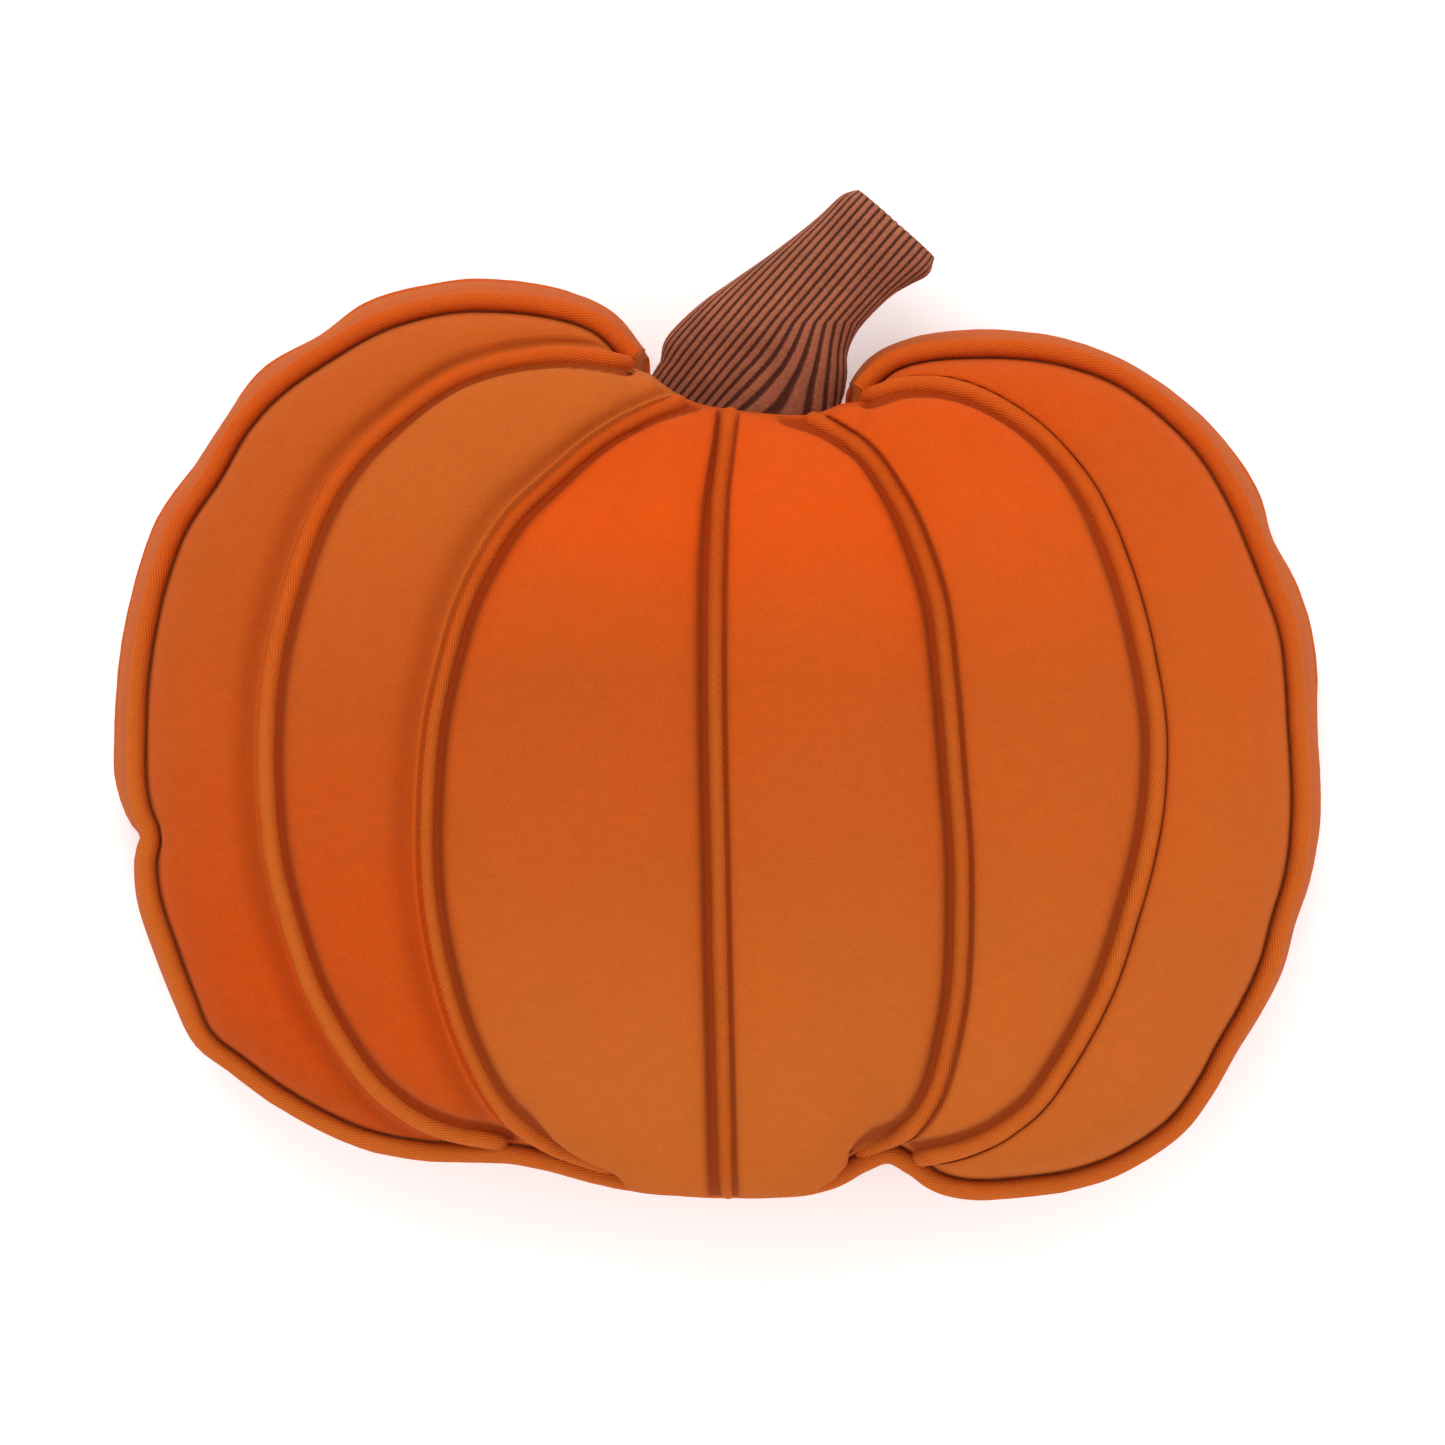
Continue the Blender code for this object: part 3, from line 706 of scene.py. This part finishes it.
class Look(Nodes):
    """A new material with its Principled shader."""

    def __init__(self, name, colour, roughness, **constants):
        self.material = bpy.data.materials.new(name)
        self.material.use_nodes = True
        self.material.diffuse_color = colour
        super().__init__(self.material.node_tree)
        self.shader = self.tree.nodes["Principled BSDF"]
        self.set(self.shader.inputs["Base Color"], colour)
        self.set(self.shader.inputs["Roughness"], roughness)
        for socket, value in constants.items():
            self.set(self.shader.inputs[socket.replace("_", " ")], value)

    def place(self, scale=1.0):
        """Places on the object in millimetres, scaled."""
        where = self.add("ShaderNodeTexCoord").outputs["Object"]
        sizes = scale if isinstance(scale, tuple) else (scale,) * 3
        values = {0: where, 1: tuple(size / MM for size in sizes)}
        return self.add("ShaderNodeVectorMath", values, operation="MULTIPLY").outputs[0]

    def noise(self, size, detail=2.0, roughness=0.5, stretch=(1.0, 1.0, 1.0), seed=0.0):
        """Soft noise from 0 to 1 whose lumps are about size millimetres across."""
        values = {
            "Vector": self.place(tuple(s / size for s in stretch)),
            "W": seed,
            "Scale": 1.0,
            "Detail": detail,
            "Roughness": roughness,
        }
        return self.value("ShaderNodeTexNoise", values, noise_dimensions="4D")

    def attribute(self, name):
        return self.value("ShaderNodeAttribute", output=2, attribute_name=name)

    def bump(self, height, distance, strength=1.0):
        """Roughens the surface by a height of distance millimetres at 1."""
        values = {"Height": height, "Distance": distance * MM, "Strength": strength}
        self.set(self.shader.inputs["Normal"], self.add("ShaderNodeBump", values).outputs[0])


def velvet():
    """Soft orange velvet with a fine grain: the nap lies in patches, and its sheen, the light and shade, and
    the shade in the seams' creases are painted into the colour, lighter and darker.
    """
    look = Look(
        "velvet", (0.86, 0.115, 0.006, 1.0), 0.8,
        Specular_IOR_Level=0.1, Sheen_Weight=0.15, Sheen_Roughness=0.5, Sheen_Tint=(1.0, 0.35, 0.08, 1.0),
    )
    broad = look.noise(45.0, 2.0, 0.5)
    nap = look.noise(6.0, 3.0, 0.6, stretch=(1.0, 1.5, 1.0), seed=3.0)
    fine = look.noise(0.8, 3.0, 0.7, seed=7.0)
    grain = broad * 0.2 + nap * 0.2 + fine * 0.6
    # Painted sheen: the nap attribute turns the colour from a pale tan, where the sheen is painted, to deep
    # orange.
    depth = look.attribute("nap") + (broad - 0.5) * 0.5
    # A lit and a shaded copy of the velvet, mixed below by the painted light.
    bright = look.mix(depth, (0.56, 0.126, 0.016, 1.0), (0.66, 0.074, 0.002, 1.0), clamp_factor=True)
    shaded_velvet = look.mix(depth, (0.40, 0.082, 0.009, 1.0), (0.41, 0.044, 0.001, 1.0), clamp_factor=True)
    # Painted light and shade from the light attribute, mottled by the random grain.
    light = look.attribute("light") * 0.9 + (grain - 0.5) * 1.8
    tone = look.mix(light, shaded_velvet, bright, clamp_factor=True)
    # Painted shade: the creases beside the seams are darkened towards a deep brown.
    tone = look.mix(look.attribute("painted_crease_shade") * 0.7, tone, (0.22, 0.020, 0.0005, 1.0))
    look.set(look.shader.inputs["Base Color"], tone)
    look.bump(nap * 0.2 + fine * 0.8, 0.45)
    return look.material


def piping_velvet():
    """The same velvet cut on the bias round the cords, with fine slanting ribs."""
    look = Look(
        "piping", (0.80, 0.10, 0.006, 1.0), 0.8,
        Specular_IOR_Level=0.1, Sheen_Weight=0.15, Sheen_Roughness=0.5, Sheen_Tint=(1.0, 0.35, 0.08, 1.0),
    )
    along = look.attribute("along")
    circle = look.add("ShaderNodeAttribute", attribute_name="around").outputs["Vector"]
    parts = look.add("ShaderNodeSeparateXYZ", {0: circle})
    around = look.math("ARCTAN2", parts.outputs[1], parts.outputs[0]) / (2 * math.pi)
    nap = look.noise(3.0, 3.0, 0.6, seed=5.0)
    wander = look.noise(9.0, 2.0, seed=4.0)
    turns = along / RIB_PITCH + around * RIB_SLANT + wander * 1.5
    rib = look.math("SINE", turns * (2 * math.pi)) * 0.5 + 0.5
    fine = look.noise(0.9, 2.0, 0.6, seed=8.0)
    # Painted sheen: height here is the plan's y; the cords' colour is deeper towards the top of the face and
    # paler lower down, as on the panels.
    height = look.value("ShaderNodeSeparateXYZ", {0: look.place(0.001)}, output=1)
    depth = look.ramp(height, -0.02, 0.09) * 0.8 + (wander - 0.5) * 0.4
    dark = look.mix(depth, (0.42, 0.078, 0.007, 1.0), (0.44, 0.052, 0.002, 1.0), clamp_factor=True)
    bright = look.mix(depth, (0.60, 0.124, 0.014, 1.0), (0.64, 0.088, 0.004, 1.0), clamp_factor=True)
    tone = look.mix(look.ramp(rib * 0.45 + nap * 0.25 + fine * 0.3, 0.15, 0.8), dark, bright)
    look.set(look.shader.inputs["Base Color"], tone)
    look.bump(rib * 0.5 + fine * 0.5, 0.3)
    return look.material


def corduroy():
    """Brown corduroy: fuzzy ribs, with shade painted into the grooves between them."""
    look = Look(
        "corduroy", (0.27, 0.085, 0.040, 1.0), 0.85,
        Specular_IOR_Level=0.15, Sheen_Weight=0.35, Sheen_Roughness=0.4, Sheen_Tint=(1.0, 0.55, 0.40, 1.0),
    )
    rib = look.attribute("rib")
    crest = look.math("COSINE", rib * (2 * math.pi / STEM_RIB_PITCH)) * 0.5 + 0.5
    fuzz = look.noise(1.2, 3.0, 0.65, seed=2.0)
    broad = look.noise(14.0, 2.0, seed=9.0)
    raised = look.ramp(crest + fuzz * 0.3, 0.25, 0.75)
    # Painted shade: the grooves between the ribs are painted much darker than the crests.
    ribs_and_groove_shade = look.mix(raised, (0.075, 0.018, 0.009, 1.0), (0.34, 0.105, 0.052, 1.0))
    worn = look.ramp(broad * 0.5 + fuzz * 0.5, 0.3, 0.7)
    tone = look.mix(worn, (0.7, 0.68, 0.66, 1.0), (1.12, 1.1, 1.08, 1.0))
    made = look.add("ShaderNodeMix", {"Factor": 1.0}, data_type="RGBA", blend_type="MULTIPLY")
    look.set(made.inputs[6], ribs_and_groove_shade)
    look.set(made.inputs[7], tone)
    look.set(look.shader.inputs["Base Color"], made.outputs[2])
    look.bump(fuzz, 0.5)
    return look.material


def new_tree(name, **sizes):
    """A Geometry Nodes tree with a geometry input and a named number input for each size."""
    tree = bpy.data.node_groups.new(name, "GeometryNodeTree")
    tree.interface.new_socket("Geometry", in_out="INPUT", socket_type="NodeSocketGeometry")
    tree.interface.new_socket("Geometry", in_out="OUTPUT", socket_type="NodeSocketGeometry")
    for title in sizes:
        tree.interface.new_socket(title, in_out="INPUT", socket_type="NodeSocketFloat")
    nodes = Nodes(tree)
    given = tree.nodes.new("NodeGroupInput")
    return nodes, given, {title: Value(nodes, given.outputs[title]) for title in sizes}


def end_tree(nodes, shape, material):
    """Ends a tree: instances made real, the material set and the surface smooth."""
    real = nodes.add("GeometryNodeRealizeInstances", {"Geometry": shape}).outputs[0]
    smooth = nodes.add("GeometryNodeSetShadeSmooth", {"Geometry": real}).outputs[0]
    final = nodes.add("GeometryNodeSetMaterial", {"Geometry": smooth, "Material": material}).outputs[0]
    nodes.add("NodeGroupOutput", {"Geometry": final})
    return nodes.tree


def grown(made, tree, **sizes):
    """The mesh object that a tree with its sizes makes of an object, which it takes the place of."""
    modifier = made.modifiers.new("shape", "NODES")
    modifier.node_group = tree
    for item in tree.interface.items_tree:
        if item.in_out == "INPUT" and item.name in sizes:
            modifier[item.identifier] = sizes[item.name]
    ready = made.evaluated_get(bpy.context.evaluated_depsgraph_get())
    mesh = bpy.data.meshes.new_from_object(ready)
    name = made.name
    made.modifiers.remove(modifier)
    bpy.data.objects.remove(made)
    mesh.name = name
    return add_object(name, mesh)


def piping_tree(material):
    """A cord covered with cloth, swept along the object's curve: radius, unevenness and step in metres, and
    the number of sides."""
    nodes, given, size = new_tree("covered cord", Radius=0, Unevenness=0, Step=0, Sides=0)
    path = nodes.add("GeometryNodeResampleCurve")
    path.mode = "LENGTH"
    nodes.set(path.inputs["Curve"], given.outputs["Geometry"])
    nodes.set(path.inputs["Length"], size["Step"])
    length = nodes.add("GeometryNodeSplineParameter").outputs["Length"]
    values = {"Geometry": path.outputs[0], "Name": "along", "Value": length}
    path = nodes.add("GeometryNodeStoreNamedAttribute", values, data_type="FLOAT").outputs[0]
    values = {"Resolution": size["Sides"], "Radius": size["Radius"]}
    circle = nodes.add("GeometryNodeCurvePrimitiveCircle", values)
    turn = nodes.add("GeometryNodeInputPosition").outputs[0]
    values = {"Geometry": circle.outputs[0], "Name": "around", "Value": turn}
    profile = nodes.add("GeometryNodeStoreNamedAttribute", values, data_type="FLOAT_VECTOR").outputs[0]
    values = {"Curve": path, "Profile Curve": profile, "Fill Caps": True}
    cover = nodes.add("GeometryNodeCurveToMesh", values).outputs[0]
    lumps = {"Scale": 90.0, "Detail": 2.0}
    lumps = nodes.value("ShaderNodeTexNoise", lumps, noise_dimensions="3D") - 0.5
    normal = nodes.add("GeometryNodeInputNormal").outputs[0]
    values = {0: normal, "Scale": lumps * size["Unevenness"]}
    offset = nodes.add("ShaderNodeVectorMath", values, operation="SCALE").outputs[0]
    cover = nodes.add("GeometryNodeSetPosition", {"Geometry": cover, "Offset": offset}).outputs[0]
    return end_tree(nodes, cover, material)


def piping(name, points, tree, closed=False):
    """A covered cord along points in millimetres."""
    curve = bpy.data.curves.new(name, "CURVE")
    curve.dimensions = "3D"
    spline = curve.splines.new("POLY")
    spline.points.add(len(points) - 1)
    for place, point in zip(spline.points, points):
        place.co = (*(point * MM), 1.0)
    spline.use_cyclic_u = closed
    made = add_object(name, curve)
    sizes = {"Radius": CORD_RADIUS, "Unevenness": CORD_UNEVENNESS, "Step": CORD_STEP}
    sizes = {title: size * MM for title, size in sizes.items()}
    return grown(made, tree, Sides=CORD_SIDES, **sizes)


def corduroy_tree(material):
    """Raises ribs on a surface by its rib attribute, the distance across the ribs in millimetres."""
    nodes, given, size = new_tree("corduroy ribs", Pitch=0, Depth=0)
    rib = nodes.add("GeometryNodeInputNamedAttribute", {"Name": "rib"}, data_type="FLOAT")
    turns = Value(nodes, rib.outputs[0]) / size["Pitch"]
    crest = nodes.math("ABSOLUTE", nodes.math("COSINE", turns * math.pi))
    normal = nodes.add("GeometryNodeInputNormal").outputs[0]
    values = {0: normal, "Scale": (crest ** 0.6 - 1.0) * size["Depth"]}
    offset = nodes.add("ShaderNodeVectorMath", values, operation="SCALE").outputs[0]
    shape = nodes.add("GeometryNodeSetPosition", {"Geometry": given.outputs["Geometry"], "Offset": offset})
    return end_tree(nodes, shape.outputs[0], material)


def around(sides):
    """Shares across and through the thickness at points round a rounded oblong."""
    turn = np.linspace(0, 2 * math.pi, sides, endpoint=False)
    power = 2 / STEM_SQUARENESS
    across = np.sign(np.cos(turn)) * np.abs(np.cos(turn)) ** power
    through = np.sign(np.sin(turn)) * np.abs(np.sin(turn)) ** power
    return across, through


def even_around(section, sides):
    """Points evenly spaced round a closed section, and their places across the ribs."""
    ring = np.vstack([section, section[:1]])
    length = np.concatenate([[0.0], np.cumsum(np.linalg.norm(np.diff(ring, axis=0), axis=1))])
    wanted = np.linspace(0, length[-1], sides, endpoint=False)
    points = np.column_stack([np.interp(wanted, length, column) for column in ring.T])
    x, y = points[:, 0], points[:, 1]
    right, left = ring[0, :2], ring[len(section) // 2, :2]
    width = np.linalg.norm(right - left)
    share = (points[:, :2] - left) @ (right - left) / width**2
    bend = smooth_step(share, *RIB_BEND_SHARES) * RIB_BEND
    y = np.where(y < RIB_BEND_HEIGHT, RIB_BEND_HEIGHT + (y - RIB_BEND_HEIGHT) * (1 - bend), y)
    turn = math.radians(RIB_TURN)
    across = x * math.sin(turn) - y * math.cos(turn)
    from_top = np.minimum(wanted, length[-1] - wanted) - length[-1] / 4
    wrapped = -from_top - width * (share - 0.5)
    return points, across + wrapped


def stem(outline, material):
    """The stuffed corduroy stem. Its base lies along the wall of the notch, just clear of it."""
    across, through = around(SECTION_POINTS)
    wall = outline.ring(STEM_GAP - STEM_POCKET * outline.pocket, 0.0)[outline.corded :][::-1]
    start, end = STEM_BASE
    plan = smooth_path(wall[:, :2], start + (end - start) * (1 + across) / 2)
    middle, half = STEM_BASE_HEIGHT
    base = np.column_stack([plan, middle + half * through])
    rows = smooth_path(STEM, np.linspace(0, 1, STEM_ROWS))
    sections = [base]
    for left_x, left_y, right_x, right_y, middle, half in rows:
        left = np.array([left_x, left_y])
        right = np.array([right_x, right_y])
        plan = (left + right) / 2 + (right - left) / 2 * across[:, None]
        sections.append(np.column_stack([plan, middle + half * through]))
    shares = np.linspace(0, 1, STEM_BASE_RINGS)[1:-1]
    blend = [sections[0] + (sections[1] - sections[0]) * share for share in shares]
    sections = [sections[0], *blend, *sections[1:]]
    rings = [even_around(section, STEM_SIDES) for section in sections]
    skin = Skin()
    skin.sheet([points for points, away in rings], closed=True)
    tip = rings[-1][0]
    middle = tip.mean(axis=0)
    cap = [middle + (tip - middle) * share for share in TIP_RINGS]
    skin.sheet(cap, closed=True)
    skin.fan(cap[-1], middle)
    base = rings[0][0]
    half_way = STEM_SIDES // 2
    strips = [[base[here], base[-here]] for here in range(1, half_way)]
    skin.sheet([[base[0], base[0]], *strips, [base[half_way], base[half_way]]])
    away_at = {}
    for points, away in rings:
        for point, distance in zip(points, away):
            away_at[skin.number(point)] = distance
    made = skin.build("corduroy_stem")
    ribs = made.data.attributes.new("rib", "FLOAT", "POINT")
    values = np.array([away_at.get(number, 0.0) for number in range(len(made.data.vertices))])
    for ring in cap[1:]:
        for point, (place, away) in zip(ring, zip(*rings[-1])):
            values[skin.number(point)] = away
    ribs.data.foreach_set("value", values)
    return grown(made, corduroy_tree(material), Pitch=STEM_RIB_PITCH, Depth=STEM_RIB_DEPTH * MM)


def look_at(made, target):
    made.rotation_euler = (Vector(target) - made.location).to_track_quat("-Z", "Y").to_euler()


def soft_light(name, place, target, width, power):
    """A large square lamp, a studio softbox."""
    lamp = bpy.data.lights.new(name, "AREA")
    lamp.size = width
    lamp.energy = power
    made = add_object(name, lamp)
    made.location = place
    look_at(made, target)


def studio():
    """A pale floor, soft light from above and a bright room."""
    mesh = bpy.data.meshes.new("floor")
    side = 12.0
    corners = [(-side, -side, 0.0), (side, -side, 0.0), (side, side, 0.0), (-side, side, 0.0)]
    mesh.from_pydata(corners, [], [(0, 1, 2, 3)])
    floor = add_object("floor", mesh)
    paint = Look(
        "floor", (0.95, 0.95, 0.95, 1.0), 0.9,
        Emission_Color=(1.0, 1.0, 1.0, 1.0), Emission_Strength=FLOOR_GLOW,
    )
    mesh.materials.append(paint.material)
    world = bpy.data.worlds.new("room")
    world.use_nodes = True
    bpy.context.scene.world = world
    air = world.node_tree.nodes["Background"]
    air.inputs["Color"].default_value = (1.0, 1.0, 1.0, 1.0)
    air.inputs["Strength"].default_value = ROOM_LIGHT
    soft_light("key", (-0.3, 1.3, 1.9), (0.0, 0.0, 0.05), 1.4, 20.0)
    soft_light("fill", (0.6, -1.2, 1.8), (0.0, 0.0, 0.05), 1.6, 7.0)
    bpy.context.scene.view_settings.view_transform = "Standard"


def photo_camera():
    """Looks straight down on the face, framed like the photo."""
    middle = PHOTO_SIDE / 2
    x = (middle - PHOTO_ORIGIN[0]) * PHOTO_SCALE
    y = (PHOTO_ORIGIN[1] - middle) * PHOTO_SCALE
    lens = bpy.data.cameras.new("photo")
    lens.sensor_width = SENSOR
    lens.sensor_fit = "HORIZONTAL"
    lens.lens = SENSOR * (CAMERA_DISTANCE - FRONT_EDGE_HEIGHT) / (PHOTO_SIDE * PHOTO_SCALE)
    lens.clip_start = 0.05
    lens.clip_end = 50.0
    made = add_object("photo", lens)
    made.location = (x * MM, y * MM, CAMERA_DISTANCE * MM)
    bpy.context.scene.camera = made


def pressed_out(sheets):
    """The sheets of points moved as cloth that the filling presses out, held along their sewn lines. Each
    sheet is its points, which of them are sewn, and whether it closes round."""
    places, faces, sewn = [], [], []
    for points, held, closed in sheets:
        lines, count = held.shape
        start = len(places)
        places += list(points.reshape(-1, 3) * MM)
        sewn += [start + int(number) for number in np.flatnonzero(held)]
        for line in range(lines - 1):
            for here in range(count if closed else count - 1):
                there = (here + 1) % count
                row, following = start + line * count, start + (line + 1) * count
                faces.append((row + here, following + here, following + there, row + there))
    mesh = bpy.data.meshes.new("cloth")
    mesh.from_pydata(places, [], faces)
    made = add_object("cloth", mesh)
    made.vertex_groups.new(name="sewn").add(sewn, 1.0, "REPLACE")
    cloth = made.modifiers.new("cloth", "CLOTH")
    cloth.settings.quality = CLOTH_QUALITY
    cloth.settings.use_pressure = True
    cloth.settings.uniform_pressure_force = FILLING_PRESSURE
    cloth.settings.vertex_group_mass = "sewn"
    cloth.settings.shrink_min = -CLOTH_SLACK
    cloth.settings.effector_weights.gravity = 0.0
    cloth.point_cache.frame_start = 1
    cloth.point_cache.frame_end = CLOTH_FRAMES
    scene = bpy.context.scene
    for number in range(1, CLOTH_FRAMES + 1):
        scene.frame_set(number)
    ready = made.evaluated_get(bpy.context.evaluated_depsgraph_get())
    after = np.array([tuple(vertex.co) for vertex in ready.data.vertices]) / MM
    bpy.data.objects.remove(made)
    scene.frame_set(1)
    moves = after - np.array(places) / MM
    length = np.linalg.norm(moves, axis=1, keepdims=True)
    moves *= MOST_MOVE / (MOST_MOVE + length)
    found = []
    for points, held, closed in sheets:
        size = held.size
        found.append(moves[:size].reshape(points.shape))
        moves = moves[size:]
    return found


def spread_over(moves, lines, places, shape):
    """Moves known at some lines and places of a grid, spread smoothly over all of it."""
    line = np.arange(shape[0])
    place = np.arange(shape[1])
    spread = []
    for axis in range(3):
        wide = np.array([np.interp(place, places, row) for row in moves[..., axis]])
        spread.append(np.array([np.interp(line, lines, row) for row in wide.T]).T)
    return np.stack(spread, axis=-1)


def press_out(grid, rings, outline):
    """Lets the filling press out the face and the boxing between their seams."""
    columns = [0]
    seams = [0]
    for panel in range(len(PANEL_COLUMNS)):
        start = columns[-1]
        steps = panel_steps(panel)
        left, right = side_steps(panel)
        middle = range(len(left) - 1, steps - len(right) + 2, 2)
        columns += [start + here for here in (len(left) - 5, *middle, steps - len(right) + 5, steps)]
        seams.append(len(columns) - 1)
    rows = np.unique(np.linspace(0, ROWS, ROWS // CLOTH_SKIP + 1).round().astype(int))
    held = np.zeros((len(columns), len(rows)), bool)
    held[seams] = True
    held[:, [0, -1]] = True
    face = grid[columns][:, rows]
    stations = np.arange(0, len(outline.cord), CLOTH_SKIP)
    levels = np.arange(len(CORD_SEAT) - 1, len(CORD_SEAT) + BOXING_ROWS, CLOTH_SKIP)
    boxing = rings[levels][:, stations]
    tied = np.zeros(boxing.shape[:2], bool)
    tied[[0, -1]] = True
    tied[:, outline.pocket[stations] > 0] = True
    moves = pressed_out([(face, held, False), (boxing, tied, True)])
    grid = grid + spread_over(moves[0], columns, rows, grid.shape)
    stations = np.append(stations, len(outline.cord))
    around_boxing = np.concatenate([moves[1], moves[1][:, :1]], axis=1)
    wanted = (levels[-1] + 1 - levels[0], len(outline.cord))
    rings = rings.copy()
    rings[levels[0] : levels[-1] + 1] += spread_over(around_boxing, levels - levels[0], stations, wanted)
    return grid, rings


def body(outline, material):
    """The filled velvet body: face, boxing and back in one skin."""
    grid, seams = face_grid(outline)
    grid, looks = grid[..., :3], grid[..., 3:]
    foot = np.column_stack([outline.foot, np.full(len(outline.foot), FRONT_EDGE_HEIGHT)])
    rings = np.array(boxing_rings(outline))
    grid, rings = press_out(grid, rings, outline)
    skin = Skin()
    skin.sheet(grid)
    skin.sheet([foot, *rings], closed=True)
    skin.fan(rings[-1], (*CROWN_CENTRE, 0.0))
    skin.mark(grid, looks)
    made = skin.build("velvet_body")
    # The attributes hold the painted sheen (nap), the painted light and shade (light) and the shade painted
    # into the creases.
    skin.store(made.data, ("nap", "light", "painted_crease_shade"), BOXING_LOOK)
    made.data.materials.append(material)
    return made, seams


def seam_end(line, front):
    """A seam's line down to where its cord meets the front edge's."""
    away = np.linalg.norm(line[:, None] - front[None], axis=2).min(axis=1)
    room = np.flatnonzero(away > CORD_RADIUS)
    return line[room[0] : room[-1] + 1]


outline = Outline()
velvet_look = velvet()
piping_look = piping_velvet()
corduroy_look = corduroy()
velvet_body, seams = body(outline, velvet_look)
cords = piping_tree(piping_look)
front = outline.ring(0.0, FRONT_EDGE_HEIGHT)[: outline.corded]
pipings = {"front_edge_piping": piping("front_edge_cord", front, cords)}
back = outline.back_ring(0.0, BACK_EDGE_HEIGHT)
pipings["back_edge_piping"] = piping("back_edge_cord", back, cords, closed=True)
for name, line in zip(SEAMS, seams):
    title = f"{name}_seam_cord"
    pipings[f"seam_piping_{name}"] = piping(title, seam_end(line, front), cords)
corduroy_stem = stem(outline, corduroy_look)
studio()
photo_camera()

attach(velvet_body, "root")
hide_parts("cushion_body")
for node, made in pipings.items():
    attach(made, "root")
    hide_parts(node)
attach(corduroy_stem, "root")
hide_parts("stem")
